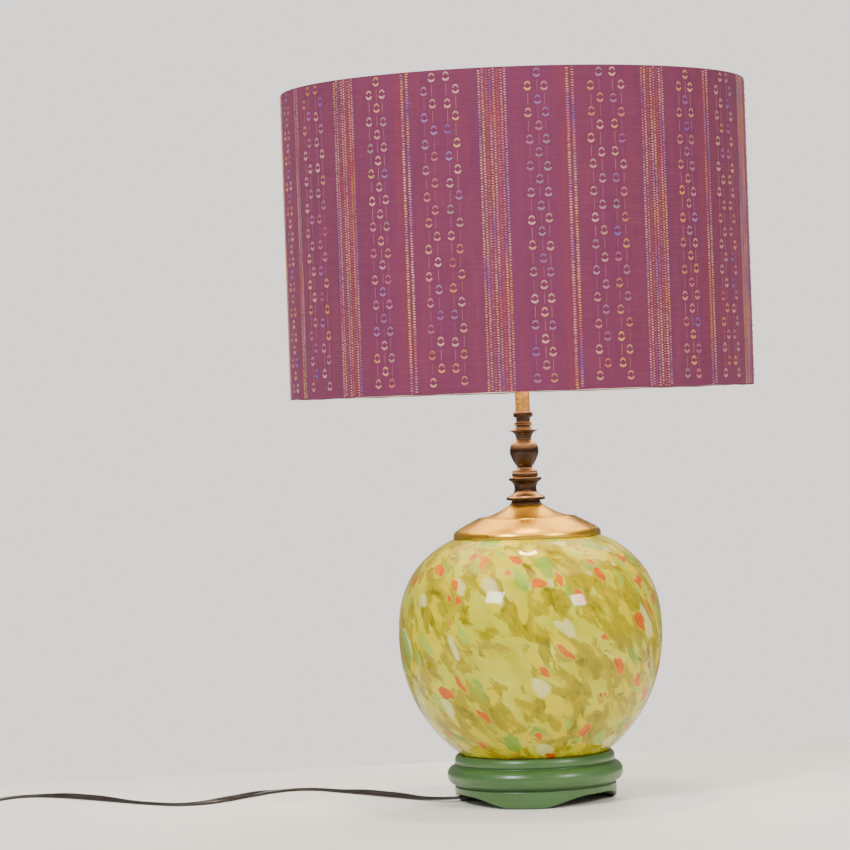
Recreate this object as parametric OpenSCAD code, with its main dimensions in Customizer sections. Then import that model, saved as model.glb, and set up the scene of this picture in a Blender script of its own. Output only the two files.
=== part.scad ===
// Table lamp: drum shade on a harp, glass globe body, turned wood base.
// Millimetres, +Z up, origin on the table under the centre of the base.
// The front of the lamp faces -Y.

/* [Base] */
// Widest radius of the turned base, at its big bead
base_r = 77.2; // [66:0.2:92]
// Height of the base, from the table to the rim that holds the globe
base_h = 43; // [38:0.5:52]
// Radius of the hollow under the base
recess_r = 58; // [50:0.5:60]
// Height of the scalloped arches between the feet
arch_h = 9.6; // [7:0.1:11]
// Thickness of the wood between the dish and the hollow
web_t = 6; // [4:0.5:9]

/* [Globe] */
// Widest radius of the glass globe
globe_r = 115.7; // [96:0.5:138]
// Depth of the globe below its widest place
globe_below = 125.8; // [105:0.5:150]
// Height of the globe above its widest place
globe_above = 95.3; // [80:0.5:114]
// Thickness of the glass
glass_t = 4.5; // [3:0.5:6]
// Radius at which the globe sits in the base and the cap sits on the globe
seat_r = 65; // [56:0.5:68]

/* [Neck] */
// Height of the brass cap that closes the globe
cap_h = 28.6; // [24:0.2:34]
// Thickness of the spun brass of the cap
cap_t = 1; // [0.6:0.1:1.6]
// Widest radius of the turned neck
neck_r = 17.1; // [14.5:0.1:20]
// Height of the turned neck, from the cap to the top of the cup
neck_h = 81.6; // [68:0.2:98]
// Outside diameter of the brass tube above the neck
tube_d = 12.8; // [12:0.2:15]
// Length of brass tube seen between the cup and the harp saddle
tube_h = 66; // [55:0.5:80]

/* [Rod] */
// Outside diameter of the hollow threaded rod
rod_d = 9.5; // [8:0.1:10]
// Bore of the hollow threaded rod
rod_bore = 6.6; // [6:0.1:7]
// Diameter of the lead inside the lamp
lead_d = 4.6; // [4:0.1:5]

/* [Harp and socket] */
// Height from the harp saddle to the seat of the shade
harp_h = 203; // [178:1:240]
// Widest radius of the harp's bow
harp_r = 50; // [44:0.5:60]
// Distance of each harp leg from the middle
leg_x = 27; // [24:0.5:32]
// Diameter of the harp wire
harp_wire = 3.8; // [3:0.1:4.5]
// Outside diameter of the socket shell
socket_d = 33; // [31.6:0.2:36]
// Height of the socket shell
shell_h = 42; // [38:0.5:50]
// Diameter of the bulb's glass
bulb_d = 60; // [50:1:72]

/* [Shade] */
// Outside radius of the drum shade
shade_r = 203.2; // [170:0.2:244]
// Height of the drum shade
shade_h = 266.7; // [222:0.1:320]
// Thickness of the shade's fabric
fabric_t = 0.8; // [0.5:0.1:1.5]
// Thickness of the stiff liner behind the fabric
liner_t = 1.2; // [0.8:0.1:2]
// Diameter of the ring wire
ring_wire = 3.2; // [2.4:0.1:4]
// How far the spider's washer sits below the shade's top edge
spider_drop = 14.7; // [10:0.1:18]

/* [Mains lead] */
// Width of the two-core lead
cord_d = 5.2; // [5:0.1:5.5]
// Radius of the coil at the middle of its turns
coil_mid_r = 30; // [26:0.5:31]

/* [Hidden] */

$fn = 96;
smooth = 10;        // points along each curved stretch of an outline
bite = 1;           // how far a cutting shape runs past a face
fit = 0.05;         // running clearance on a radius
gap = 0.4;          // loose clearance on a radius
rod_hole_r = rod_d / 2 + gap;

// A curved stretch from p to q, pulled towards c.
function bend(p, c, q, n = smooth) =
    [for (i = [0 : n]) let (t = i / n) (1 - t) * (1 - t) * p + 2 * t * (1 - t) * c + t * t * q];

// The same outline, wider by dr and higher by dz.
function moved(points, dr, dz) = [for (p = points) [p[0] + dr, p[1] + dz]];

function reversed(list) = [for (i = [len(list) - 1 : -1 : 0]) list[i]];

module turned(points) {
    rotate_extrude() polygon(points);
}

module ring(r_out, r_in, h) {
    difference() {
        cylinder(r = r_out, h = h);
        translate([0, 0, -bite]) cylinder(r = r_in, h = h + 2 * bite);
    }
}

// ---- heights that stack up from the table ----

// The globe is a deep half ellipse below its widest place and a fuller dome above it.
dome_power = 2.4;
function globe_low(r) = -globe_below * sqrt(1 - pow(r / globe_r, 2));
function globe_high(r) = globe_above * pow(1 - pow(r / globe_r, dome_power), 1 / dome_power);
globe_z = base_h - globe_low(seat_r);
cap_z = globe_z + globe_high(seat_r);
neck_z = cap_z + cap_h;
tube_z = neck_z + neck_h;
saddle_t = 1.8;
saddle_z = tube_z + tube_h;
socket_z = saddle_z + saddle_t;
seat_z = saddle_z + harp_h;          // the shade's washer sits here
shade_top = seat_z + spider_drop;
shade_z = shade_top - shade_h;

// ---- base ----

recess_top = 22;                      // ceiling of the hollow under the base
dish_z = recess_top + web_t;
dish_gap = 0.4;                       // air between the globe and the wood beside the gasket
gasket_in = seat_r - 10;
gasket_out = seat_r - 2;
gasket_z = globe_z + globe_low(gasket_in) - 2;
band_r = base_r - 6.2;                // the plain band at the foot of the base
band_h = 15;
bead_z0 = 16.7;
bead_z1 = base_h - 9.6;
rim_r = seat_r + 5.2;
foot_turn = [-97, 23, 143];           // middle of each foot, measured from +X
arch_half_w = 0.74 * band_r;
arch_power = 3;                       // how square the arch's crown is
arch_toe = 1.5;                       // how softly it runs out into the feet

module wood_base() {
    bead_mid = (bead_z0 + bead_z1) / 2;
    bead = [for (a = [-90 : 10 : 90])
            [base_r - 7.2 + 7.2 * cos(a), bead_mid + (bead_z1 - bead_z0) / 2 * sin(a)]];
    outline = concat(
        [[recess_r, 0], [band_r - 1, 0], [band_r, 1], [band_r, band_h - 0.6], [band_r - 0.7, band_h]],
        [[base_r - 7.6, bead_z0 - 0.9]], bead, [[rim_r - 1, bead_z1 + 0.8]],
        bend([rim_r, bead_z1 + 1.8], [rim_r + 0.8, base_h], [seat_r + 0.6, base_h], 8),
        [for (r = [seat_r : -1 : gasket_out]) [r, globe_z + globe_low(r) - dish_gap]],
        [[gasket_out, gasket_z], [gasket_in - 1, gasket_z], [gasket_in - 1, dish_z],
         [rod_hole_r, dish_z], [rod_hole_r, recess_top], [recess_r, recess_top]]);
    color([0.36, 0.52, 0.36]) difference() {
        turned(outline);
        for (turn = foot_turn) rotate([0, 0, turn + 60]) arch();
    }
}

// One arch of the scalloped apron, cut straight outwards.
module arch() {
    steps = 12;
    curve = [for (i = [-steps : steps]) let (s = i / steps)
             [s * arch_half_w, arch_h * pow(1 - pow(abs(s), arch_power), arch_toe)]];
    rotate([90, 0, 90]) linear_extrude(height = base_r)
        polygon(concat(curve, [[arch_half_w, -bite], [-arch_half_w, -bite]]));
}

washer_t = 1.6;
lock_t = 1.6;
nut_t = 4.5;
nut_d = 19;
nut_z = recess_top - washer_t - lock_t - nut_t;
rod_z = nut_z - 1.7;

module base_washer() {
    color([0.7, 0.7, 0.68]) translate([0, 0, recess_top - washer_t]) ring(14, rod_hole_r, washer_t);
}

module lock_washer() {
    color([0.6, 0.6, 0.6]) translate([0, 0, nut_z + nut_t]) difference() {
        ring(9.5, rod_hole_r, lock_t);
        translate([0, -1, -bite]) cube([12, 1.5, lock_t + 2 * bite]);
    }
}

module rod_nut() {
    color([0.75, 0.72, 0.6]) translate([0, 0, nut_z]) difference() {
        cylinder(d = nut_d, h = nut_t, $fn = 6);
        translate([0, 0, -bite]) cylinder(d = rod_d, h = nut_t + 2 * bite);
    }
}

rod_top = socket_z + 6;

module threaded_rod() {
    color([0.62, 0.6, 0.55]) translate([0, 0, rod_z]) ring(rod_d / 2, rod_bore / 2, rod_top - rod_z);
}

// A plastic collar that keeps the rod's sharp end off the lead.
module rod_bushing() {
    flange = 1.2;
    color([0.1, 0.1, 0.1]) translate([0, 0, rod_z - flange]) difference() {
        union() {
            cylinder(d = rod_d, h = flange);
            cylinder(d = rod_bore, h = flange + 5);
        }
        translate([0, 0, -bite]) cylinder(d = lead_d + 0.6, h = flange + 5 + 2 * bite);
    }
}

// ---- lead inside the lamp ----

exit_turn = 176;                      // the lead leaves under an arch, measured from +X
lead_z = 3.8;
lead_bend_r = 5;
relief_in = 34;
relief_len = 33;
relief_r = 3.6;

// It runs in flat from the strain relief, turns up under the rod and climbs to the socket.
module inner_lead() {
    turn_up = [for (a = [0 : 10 : 90])
               [lead_bend_r * (1 - sin(a)), 0, lead_z + lead_bend_r * (1 - cos(a))]];
    line = concat([[relief_in, 0, lead_z]], turn_up, [[0, 0, socket_z + 12]]);
    color([0.2, 0.13, 0.08]) rotate([0, 0, exit_turn]) tube(line, lead_d, 12, [0, 1, 0]);
}

// A tapered rubber sleeve, wide where it is held inside the base and slim where the lead comes out.
module strain_relief() {
    color([0.15, 0.1, 0.07]) rotate([0, 0, exit_turn]) translate([relief_in, 0, lead_z]) rotate([0, 90, 0])
        cylinder(r1 = relief_r, r2 = cord_d / 2 + 0.3, h = relief_len);
}

// ---- globe and cap ----

globe_open_low = 44.6;
globe_open_high = 40;

module glass_globe() {
    low = [for (a = [0 : 5 : 90]) let (r = globe_open_low + (globe_r - globe_open_low) * sin(a))
           [r, globe_z + globe_low(r)]];
    high = [for (a = [90 : -5 : 0]) let (r = globe_open_high + (globe_r - globe_open_high) * sin(a))
            [r, globe_z + globe_high(r)]];
    inside_low = [for (a = [0 : 5 : 90]) let (r = globe_open_low + (globe_r - globe_open_low) * sin(a))
                  [r * (1 - glass_t / globe_r), globe_z + globe_low(r) * (1 - glass_t / globe_below)]];
    inside_high = [for (a = [90 : -5 : 0]) let (r = globe_open_high + (globe_r - globe_open_high) * sin(a))
                   [r * (1 - glass_t / globe_r), globe_z + globe_high(r) * (1 - glass_t / globe_above)]];
    outside = concat(low, [for (i = [1 : len(high) - 1]) high[i]]);
    inside = concat(inside_low, [for (i = [1 : len(inside_high) - 1]) inside_high[i]]);
    color([0.8, 0.78, 0.55]) turned(concat(outside, reversed(inside)));
}

module globe_gasket() {
    top = [for (r = [gasket_out : -2 : gasket_in]) [r, globe_z + globe_low(r) - 0.05]];
    color([0.12, 0.12, 0.12]) turned(concat([[gasket_in, gasket_z], [gasket_out, gasket_z]], top));
}

module cap_gasket() {
    r_in = seat_r - 6;
    r_out = seat_r - 1.6;
    under = [for (r = [r_in : 1.1 : r_out]) [r, globe_z + globe_high(r) + 0.05]];
    color([0.12, 0.12, 0.12]) turned(concat(under, [[r_out, cap_z + 2.4], [r_in, cap_z + 4.4]]));
}

cap_top_r = 14.5;

// The bell outline of the cap, from its rim up to its top.
function cap_line() = concat(
    bend([seat_r - 0.3, 0], [seat_r + 0.6, cap_h * 0.14], [seat_r - 2, cap_h * 0.23], 5),
    bend([seat_r - 5.6, cap_h * 0.31], [seat_r * 0.8, cap_h * 0.46], [seat_r * 0.67, cap_h * 0.6], 6),
    [[seat_r * 0.665, cap_h * 0.62], [seat_r * 0.57, cap_h * 0.64]],
    bend([seat_r * 0.56, cap_h * 0.65], [seat_r * 0.38, cap_h * 0.75], [cap_top_r, cap_h], 8));

module globe_cap() {
    // The rim's edge stands just off the glass.
    over_glass = 0.3;
    outside = [for (p = cap_line()) [p[0], max(p[1] + cap_z, globe_z + globe_high(p[0]) + over_glass)]];
    inside = [for (p = cap_line()) let (r = p[0] - cap_t)
              [r, max(p[1] - cap_t + cap_z, globe_z + globe_high(r) + over_glass)]];
    color([0.66, 0.52, 0.3]) turned(concat(outside, [[rod_hole_r, neck_z], [rod_hole_r, neck_z - cap_t]],
                                           reversed(inside)));
}

// ---- turned neck, a stack of rings threaded on the rod ----

foot_h = 0.292 * neck_h;
bead_h = 0.059 * neck_h;
vase_h = 0.361 * neck_h;
flare_h = 0.116 * neck_h;
disc_h = 0.066 * neck_h;
cup_h = neck_h - foot_h - bead_h - vase_h - flare_h - disc_h;
bead_z = neck_z + foot_h;
vase_z = bead_z + bead_h;
flare_z = vase_z + vase_h;
disc_z = flare_z + flare_h;
cup_z = disc_z + disc_h;
stem_r = 6.6;                         // the slim places of the neck

module neck_piece(z, line, h) {
    turned(concat([[rod_hole_r, z]], moved(line, 0, z), [[rod_hole_r, z + h]]));
}

module neck_foot() {
    line = concat(
        bend([cap_top_r, 0], [cap_top_r - 1.8, foot_h * 0.08], [cap_top_r - 2, foot_h * 0.15], 4),
        bend([neck_r - 0.6, foot_h * 0.17], [neck_r + 0.4, foot_h * 0.22], [neck_r - 0.3, foot_h * 0.27], 4),
        bend([neck_r - 1.2, foot_h * 0.31], [neck_r * 0.6, foot_h * 0.36], [neck_r * 0.567, foot_h * 0.56]),
        bend([neck_r * 0.567, foot_h * 0.62], [neck_r * 0.58, foot_h * 0.82], [neck_r * 0.83, foot_h * 0.9]),
        bend([neck_r * 0.84, foot_h * 0.92], [neck_r * 0.86, foot_h * 0.96], [neck_r * 0.82, foot_h], 4));
    color([0.24, 0.15, 0.08]) neck_piece(neck_z, line, foot_h);
}

module neck_bead() {
    r = neck_r * 0.68;
    line = bend([r - 1.2, 0], [r + 1.2, bead_h / 2], [r - 1.2, bead_h]);
    color([0.24, 0.15, 0.08]) neck_piece(bead_z, line, bead_h);
}

module neck_vase() {
    belly = neck_r * 0.743;
    line = concat(
        [[belly - 1.7, 0], [belly - 1.5, vase_h * 0.03]],
        bend([belly - 2.2, vase_h * 0.05], [stem_r, vase_h * 0.07], [stem_r, vase_h * 0.16], 8),
        bend([stem_r, vase_h * 0.17], [belly - 3.2, vase_h * 0.25], [belly - 0.2, vase_h * 0.54]),
        bend([belly, vase_h * 0.6], [belly + 0.1, vase_h * 0.79], [belly - 3, vase_h * 0.89]),
        [[stem_r + 0.2, vase_h * 0.94], [stem_r + 0.2, vase_h]]);
    color([0.24, 0.15, 0.08]) neck_piece(vase_z, line, vase_h);
}

module neck_flare() {
    r = neck_r * 0.72;
    line = concat(
        bend([stem_r + 0.2, 0], [stem_r + 0.5, flare_h * 0.55], [r, flare_h * 0.72]),
        [[r, flare_h * 0.8], [stem_r + 1.6, flare_h * 0.9], [stem_r + 1.4, flare_h]]);
    color([0.24, 0.15, 0.08]) neck_piece(flare_z, line, flare_h);
}

module neck_disc() {
    r = stem_r + 1.7;
    line = concat([[stem_r, 0], [stem_r - 0.6, disc_h * 0.25]],
                  bend([r - 0.8, disc_h * 0.35], [r + 0.8, disc_h * 0.45], [r - 0.8, disc_h * 0.58], 6),
                  bend([r - 1, disc_h * 0.66], [r + 0.6, disc_h * 0.78], [r - 1, disc_h * 0.9], 6),
                  [[stem_r - 0.4, disc_h]]);
    color([0.24, 0.15, 0.08]) neck_piece(disc_z, line, disc_h);
}

cup_floor = 0.5;                      // share of the cup's height where the tube stands

module neck_cup() {
    lip = tube_d / 2 + 2.2;
    line = concat([[stem_r - 0.4, 0], [stem_r - 0.4, cup_h * 0.34]],
                  bend([stem_r, cup_h * 0.42], [lip + 0.3, cup_h * 0.44], [lip, cup_h * 0.6], 6),
                  bend([lip, cup_h * 0.75], [lip, cup_h], [tube_d / 2 + 0.8, cup_h], 5),
                  [[tube_d / 2, cup_h], [tube_d / 2, cup_h * cup_floor]]);
    color([0.24, 0.15, 0.08]) turned(concat([[rod_hole_r, cup_z]], moved(line, 0, cup_z),
                                            [[rod_hole_r, cup_z + cup_h * cup_floor]]));
}

module neck_tube() {
    z = cup_z + cup_h * cup_floor;
    color([0.78, 0.62, 0.32]) translate([0, 0, z]) ring(tube_d / 2, rod_hole_r, saddle_z - z);
}

// ---- harp ----

saddle_w = 9;
joint_z = socket_z + 18;              // the saddle's posts end and the harp's legs begin
sleeve_h = 16;
sleeve_travel = 12;
sleeve_z = joint_z - sleeve_h / 2;
sleeve_t = 1.1;
leg_top = sleeve_z + sleeve_h + sleeve_travel + 3;
stud_t = 2.4;
bow_top = seat_z - stud_t - harp_wire / 2 - 1;
bow_rise = bow_top - leg_top;
flank_r = (pow(bow_rise - harp_r, 2) + leg_x * leg_x - harp_r * harp_r) / (2 * (harp_r - leg_x));
lean = asin((bow_rise - harp_r) / (flank_r + harp_r));

module harp_saddle() {
    color([0.72, 0.66, 0.5]) translate([0, 0, saddle_z]) difference() {
        union() {
            cylinder(r = 10, h = saddle_t);
            translate([-leg_x, -saddle_w / 2, 0]) cube([2 * leg_x, saddle_w, saddle_t]);
            for (side = [-1, 1]) translate([side * leg_x, 0, 0]) {
                cylinder(d = saddle_w, h = saddle_t);
                cylinder(d = harp_wire, h = joint_z - saddle_z);
            }
        }
        translate([0, 0, -bite]) cylinder(r = rod_hole_r, h = saddle_t + 2 * bite);
    }
}

// Half of the bow: a straight leg, a gently leaning flank and a quarter of the round top.
flank_parts = 8;
top_parts = 14;
half_bow = concat(
    [[leg_x, 0, joint_z]],
    [for (i = [0 : flank_parts]) let (a = lean * i / flank_parts)
     [leg_x + flank_r * (1 - cos(a)), 0, leg_top + flank_r * sin(a)]],
    [for (i = [1 : top_parts]) let (a = -lean + (90 + lean) * i / top_parts)
     [harp_r * cos(a), 0, bow_top - harp_r + harp_r * sin(a)]]);

module harp_bow() {
    other_half = [for (i = [len(half_bow) - 2 : -1 : 0]) [-half_bow[i][0], 0, half_bow[i][2]]];
    color([0.72, 0.66, 0.5]) tube(concat(half_bow, other_half), harp_wire, 12, [0, 1, 0]);
}

module harp_sleeve(side) {
    color([0.7, 0.7, 0.68]) translate([side * leg_x, 0, sleeve_z])
        ring(harp_wire / 2 + fit + sleeve_t, harp_wire / 2 + fit, sleeve_h);
}

module sleeve_left() harp_sleeve(-1);

module sleeve_right() harp_sleeve(1);

stud_d = 6.2;
stud_h = 14;
washer_h = 1.6;                       // thickness of the spider's washer

module harp_stud() {
    boss_z = bow_top - harp_wire / 2 - 1;
    color([0.78, 0.62, 0.32]) difference() {
        union() {
            translate([0, 0, seat_z - stud_t]) cylinder(r = 8, h = stud_t);
            translate([0, 0, boss_z]) cylinder(r = 4.4, h = seat_z - boss_z);
            translate([0, 0, seat_z]) cylinder(d = stud_d, h = stud_h);
        }
        translate([0, 0, bow_top - harp_r]) rotate([90, 0, 0]) rotate([0, 0, 60])
            rotate_extrude(angle = 60) translate([harp_r, 0]) circle(d = harp_wire);
    }
}

finial_h = 20;

module finial() {
    z = seat_z + washer_h + 0.1;
    line = concat([[0, finial_h], [1.4, finial_h - 0.3]],
                  bend([3, finial_h - 2], [5.4, finial_h - 5], [3.2, finial_h - 8.2]),
                  bend([4, 10.8], [8.4, 9.4], [7, 6.4], 8),
                  bend([5, 5], [5, 3], [7.6, 2.4], 6), [[7.6, 0], [stud_d / 2 + fit, 0]],
                  [[stud_d / 2 + fit, stud_h], [0, stud_h]]);
    color([0.78, 0.62, 0.32]) turned(moved(line, 0, z));
}

// ---- socket and bulb ----

socket_cap_h = 20;
socket_wall = 0.6;
shell_z = socket_z + socket_cap_h;
shell_r = socket_d / 2;
sleeve_paper = 0.6;
body_r = shell_r - socket_wall - sleeve_paper - 0.5;
screw_r = 13.9;
screw_wall = 0.4;
body_h = 18;
screw_z = shell_z + body_h;
knob_z = shell_z + 10;
knob_shaft_d = 4;

module socket_cap() {
    neck = rod_d / 2 + 2.5;
    line = concat([[neck, 0], [neck, 6]], bend([neck, 7], [shell_r - 2, 8], [shell_r, socket_cap_h - 3]),
                  [[shell_r, socket_cap_h]]);
    inside = concat([[shell_r - socket_wall, socket_cap_h]],
                    reversed(bend([neck - 1, 7.8], [shell_r - 2.8, 8.8],
                                  [shell_r - socket_wall, socket_cap_h - 3])),
                    [[rod_d / 2, 6.8], [rod_d / 2, 0]]);
    color([0.78, 0.62, 0.32]) turned(moved(concat(line, inside), 0, socket_z));
}

module knob_hole(d) {
    translate([0, 0, knob_z]) rotate([90, 0, 0]) cylinder(d = d, h = socket_d);
}

module socket_shell() {
    color([0.78, 0.62, 0.32]) difference() {
        translate([0, 0, shell_z]) ring(shell_r, shell_r - socket_wall, shell_h);
        knob_hole(knob_shaft_d + 2);
    }
}

module socket_sleeve() {
    color([0.35, 0.25, 0.16]) difference() {
        translate([0, 0, shell_z])
            ring(shell_r - socket_wall, shell_r - socket_wall - sleeve_paper, shell_h - 2);
        knob_hole(knob_shaft_d + 2);
    }
}

module socket_body() {
    color([0.13, 0.12, 0.12]) difference() {
        translate([0, 0, shell_z + 0.5]) cylinder(r = body_r, h = body_h - 0.5);
        translate([0, -body_r + 7, knob_z]) rotate([90, 0, 0])
            cylinder(d = knob_shaft_d + 2 * fit, h = body_r);
    }
}

module socket_screw() {
    color([0.72, 0.56, 0.3]) translate([0, 0, screw_z]) {
        ring(screw_r, screw_r - screw_wall, 21);
        cylinder(r = 4, h = 0.8);
    }
}

module switch_knob() {
    shaft_end = body_r - 6.6;
    reach = shell_r + 1.5;
    color([0.09, 0.08, 0.08]) translate([0, 0, knob_z]) rotate([90, 0, 0]) {
        translate([0, 0, shaft_end]) cylinder(d = knob_shaft_d, h = reach - shaft_end + 1);
        translate([0, 0, reach]) {
            cylinder(r = 3.6, h = 4);
            translate([-1.6, -6, 3.5]) cube([3.2, 12, 11]);
        }
    }
}

bulb_z = screw_z + 1.4;
bulb_base_r = 13;
bulb_base_h = 24;
bulb_r = bulb_d / 2;
bulb_glass_t = 0.9;
bulb_neck_h = 34;

module bulb_base() {
    color([0.75, 0.75, 0.72]) translate([0, 0, bulb_z]) {
        cylinder(r1 = 4, r2 = 9, h = 3);
        translate([0, 0, 3]) cylinder(r1 = 9, r2 = bulb_base_r, h = 2);
        translate([0, 0, 5]) cylinder(r = bulb_base_r, h = bulb_base_h - 5);
    }
}

module bulb_glass() {
    z = bulb_z + bulb_base_h;
    neck = bulb_base_r - 0.2;
    dome = [for (a = [-30 : 10 : 90]) [bulb_r * cos(a), bulb_neck_h + bulb_r / 2 + bulb_r * sin(a)]];
    dome_in = [for (a = [90 : -10 : -30])
               [(bulb_r - bulb_glass_t) * cos(a), bulb_neck_h + bulb_r / 2 + (bulb_r - bulb_glass_t) * sin(a)]];
    flank = bend([neck, 0], [neck + 0.4, bulb_neck_h * 0.45], [bulb_r * 0.82, bulb_neck_h * 0.93]);
    color([0.95, 0.9, 0.78]) turned(moved(concat(flank, dome, dome_in,
                                                 reversed(moved(flank, -bulb_glass_t, 0))), 0, z));
}

// ---- shade ----

liner_r = shade_r - fabric_t;
ring_r = liner_r - liner_t - ring_wire / 2;
ring_inset = ring_wire / 2 + 0.6;     // the rings sit just inside the shade's edges

module shade_fabric() {
    color([0.55, 0.22, 0.42]) translate([0, 0, shade_z]) ring(shade_r, liner_r, shade_h);
}

module shade_liner() {
    color([0.93, 0.9, 0.84]) translate([0, 0, shade_z + 0.5]) ring(liner_r, liner_r - liner_t, shade_h - 1);
}

module wire_ring(z) {
    translate([0, 0, z]) rotate_extrude() translate([ring_r, 0]) circle(d = ring_wire, $fn = 24);
}

module bottom_ring() {
    color([0.85, 0.83, 0.78]) wire_ring(shade_z + ring_inset);
}

top_ring_z = shade_top - ring_inset;

module top_ring() {
    color([0.85, 0.83, 0.78]) wire_ring(top_ring_z);
}

// Three arms, welded to the top ring and to the washer that sits on the harp.
module shade_spider() {
    hub_r = 11;
    arm_d = 2.6;
    arm_z = seat_z + washer_h / 2;
    rise = top_ring_z - arm_z;
    run = ring_r - hub_r + 2;
    color([0.85, 0.83, 0.78]) {
        translate([0, 0, seat_z]) ring(hub_r, stud_d / 2 + 0.1, washer_h);
        for (turn = [30 : 120 : 270]) rotate([0, 0, turn]) translate([hub_r - 2, 0, arm_z])
            rotate([0, 90 - atan2(rise, run), 0]) cylinder(d = arm_d, h = sqrt(rise * rise + run * run));
    }
}

// ---- mains lead on the table ----

// Route of the lead from the strain relief to the coil, along the table.
route = [[-66.8, 4.7, 3.8], [-75, 6, 3.2], [-84, 11, 2.8], [-91, 22, 2.7], [-99, 38, 2.7], [-112, 56, 2.7],
         [-130, 74, 2.7], [-152, 92, 2.7], [-176, 110, 2.7], [-200, 127, 2.7], [-220, 135, 2.7],
         [-240, 127, 2.7], [-258, 105, 2.7], [-276, 80, 2.7], [-298, 66, 2.7], [-322, 70, 2.7],
         [-348, 86, 2.7], [-376, 108, 2.7], [-404, 132, 2.7], [-432, 155, 2.7], [-456, 168, 2.7],
         [-474, 164, 2.7], [-485, 148, 2.7], [-492, 124, 2.7], [-500, 96, 2.7], [-509, 68, 2.7],
         [-514, 40, 2.7]];
// The coil's turns spiral from its outside to its inside and back on top of that, a width apart.
coil_across = 3.5;
coil_up = 2;
coil_x = -550.5;
coil_y = 40;
coil_r_out = coil_mid_r + cord_d * coil_across / 2;
coil_r_in = coil_mid_r - cord_d * coil_across / 2;
coil_h = cord_d * coil_up + 0.2;

// Points between the route's own points, so that the tube turns smoothly.
function through(a, b, c, d, t) =
    0.5 * (2 * b + (c - a) * t + (2 * a - 5 * b + 4 * c - d) * t * t + (3 * b - a - 3 * c + d) * t * t * t);

function along(points, parts) =
    let (last = len(points) - 1)
    concat([for (i = [0 : last - 1]) for (k = [0 : parts - 1])
            through(points[max(i - 1, 0)], points[i], points[i + 1], points[min(i + 2, last)], k / parts)],
           [points[last]]);

function unit(v) = v / norm(v);

// One ring of a tube around point i of a line, square to the line, which never runs along across.
function tube_ring(line, i, r, sides, across) =
    let (last = len(line) - 1,
         ahead = unit(line[min(i + 1, last)] - line[max(i - 1, 0)]),
         side = unit(cross(ahead, across)),
         up = cross(side, ahead))
    [for (k = [0 : sides - 1]) line[i] + r * (cos(360 * (k + 0.5) / sides) * side
                                              + sin(360 * (k + 0.5) / sides) * up)];

module tube(line, d, sides = 8, across = [0, 0, 1]) {
    n = len(line);
    points = [for (i = [0 : n - 1]) each tube_ring(line, i, d / 2, sides, across)];
    walls = [for (i = [0 : n - 2]) for (k = [0 : sides - 1])
             let (a = i * sides + k, b = i * sides + (k + 1) % sides) [a, b, b + sides, a + sides]];
    ends = [[for (k = [sides - 1 : -1 : 0]) k], [for (k = [0 : sides - 1]) (n - 1) * sides + k]];
    polyhedron(points, concat(walls, ends));
}

module cord_tube() {
    color([0.2, 0.13, 0.08]) tube(along(route, 2), cord_d);
}

module cord_coil() {
    color([0.2, 0.13, 0.08]) translate([coil_x, coil_y, 0]) ring(coil_r_out, coil_r_in, coil_h);
}

tie_turn = -50;
tie_w = 5;
tie_t = 0.7;

// A wire tie wrapped round the coil's turns.
module coil_tie() {
    wide = coil_r_out - coil_r_in;
    color([0.08, 0.08, 0.08]) translate([coil_x, coil_y, 0]) rotate([0, 0, tie_turn])
        translate([coil_r_in - tie_t, -tie_w / 2, 0]) difference() {
            cube([wide + 2 * tie_t, tie_w, coil_h + tie_t]);
            translate([tie_t - 0.25, -bite, -bite]) cube([wide + 0.5, tie_w + 2 * bite, coil_h + bite]);
        }
}

// The lead's tail runs straight from the coil's upper outer turn into the plug.
tail_x = coil_x - coil_r_out + cord_d / 2;
tail_z = cord_d * (coil_up - 0.5) + 0.1;
tail_len = 20;
plug_relief = 22;
plug_w = 24;
plug_t = 13;
plug_len = 26;
plug_y = coil_y + tail_len + plug_relief;

module cord_tail() {
    color([0.2, 0.13, 0.08]) translate([tail_x, coil_y, tail_z]) rotate([-90, 0, 0])
        cylinder(d = cord_d, h = tail_len);
}

module plug_body() {
    color([0.2, 0.13, 0.08]) {
        translate([tail_x, plug_y - plug_relief, tail_z]) rotate([-90, 0, 0])
            cylinder(r1 = cord_d / 2 + 0.5, r2 = 5, h = plug_relief);
        translate([tail_x, plug_y, 0]) rotate([-90, 0, 0]) translate([0, -plug_t / 2, 0])
            linear_extrude(height = plug_len) plug_outline();
    }
}

module plug_outline() {
    corner = 3;
    for (x = [-1, 1]) translate([x * (plug_w / 2 - corner), 0]) {
        for (y = [-1, 1]) translate([0, y * (plug_t / 2 - corner)]) circle(r = corner);
        square([2 * corner, plug_t - 2 * corner], center = true);
    }
    square([plug_w - 2 * corner, plug_t], center = true);
}

blade_gap = 12.7;
blade_w = 6.3;
blade_t = 1.5;
blade_len = 16;

module plug_blades() {
    color([0.8, 0.66, 0.36]) for (side = [-1, 1])
        translate([tail_x + side * blade_gap / 2 - blade_t / 2, plug_y + plug_len, plug_t / 2 - blade_w / 2])
            cube([blade_t, blade_len, blade_w]);
}

wood_base();
base_washer();
lock_washer();
rod_nut();
rod_bushing();
threaded_rod();
inner_lead();
strain_relief();
globe_gasket();
glass_globe();
cap_gasket();
globe_cap();
neck_foot();
neck_bead();
neck_vase();
neck_flare();
neck_disc();
neck_cup();
neck_tube();
harp_saddle();
harp_bow();
sleeve_left();
sleeve_right();
harp_stud();
finial();
socket_cap();
socket_shell();
socket_sleeve();
socket_body();
socket_screw();
switch_knob();
bulb_base();
bulb_glass();
shade_fabric();
shade_liner();
shade_spider();
top_ring();
bottom_ring();
cord_tube();
cord_coil();
coil_tie();
cord_tail();
plug_body();
plug_blades();
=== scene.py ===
import math

import bmesh
import bpy
import numpy as np
from mathutils import Matrix, Vector


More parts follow.
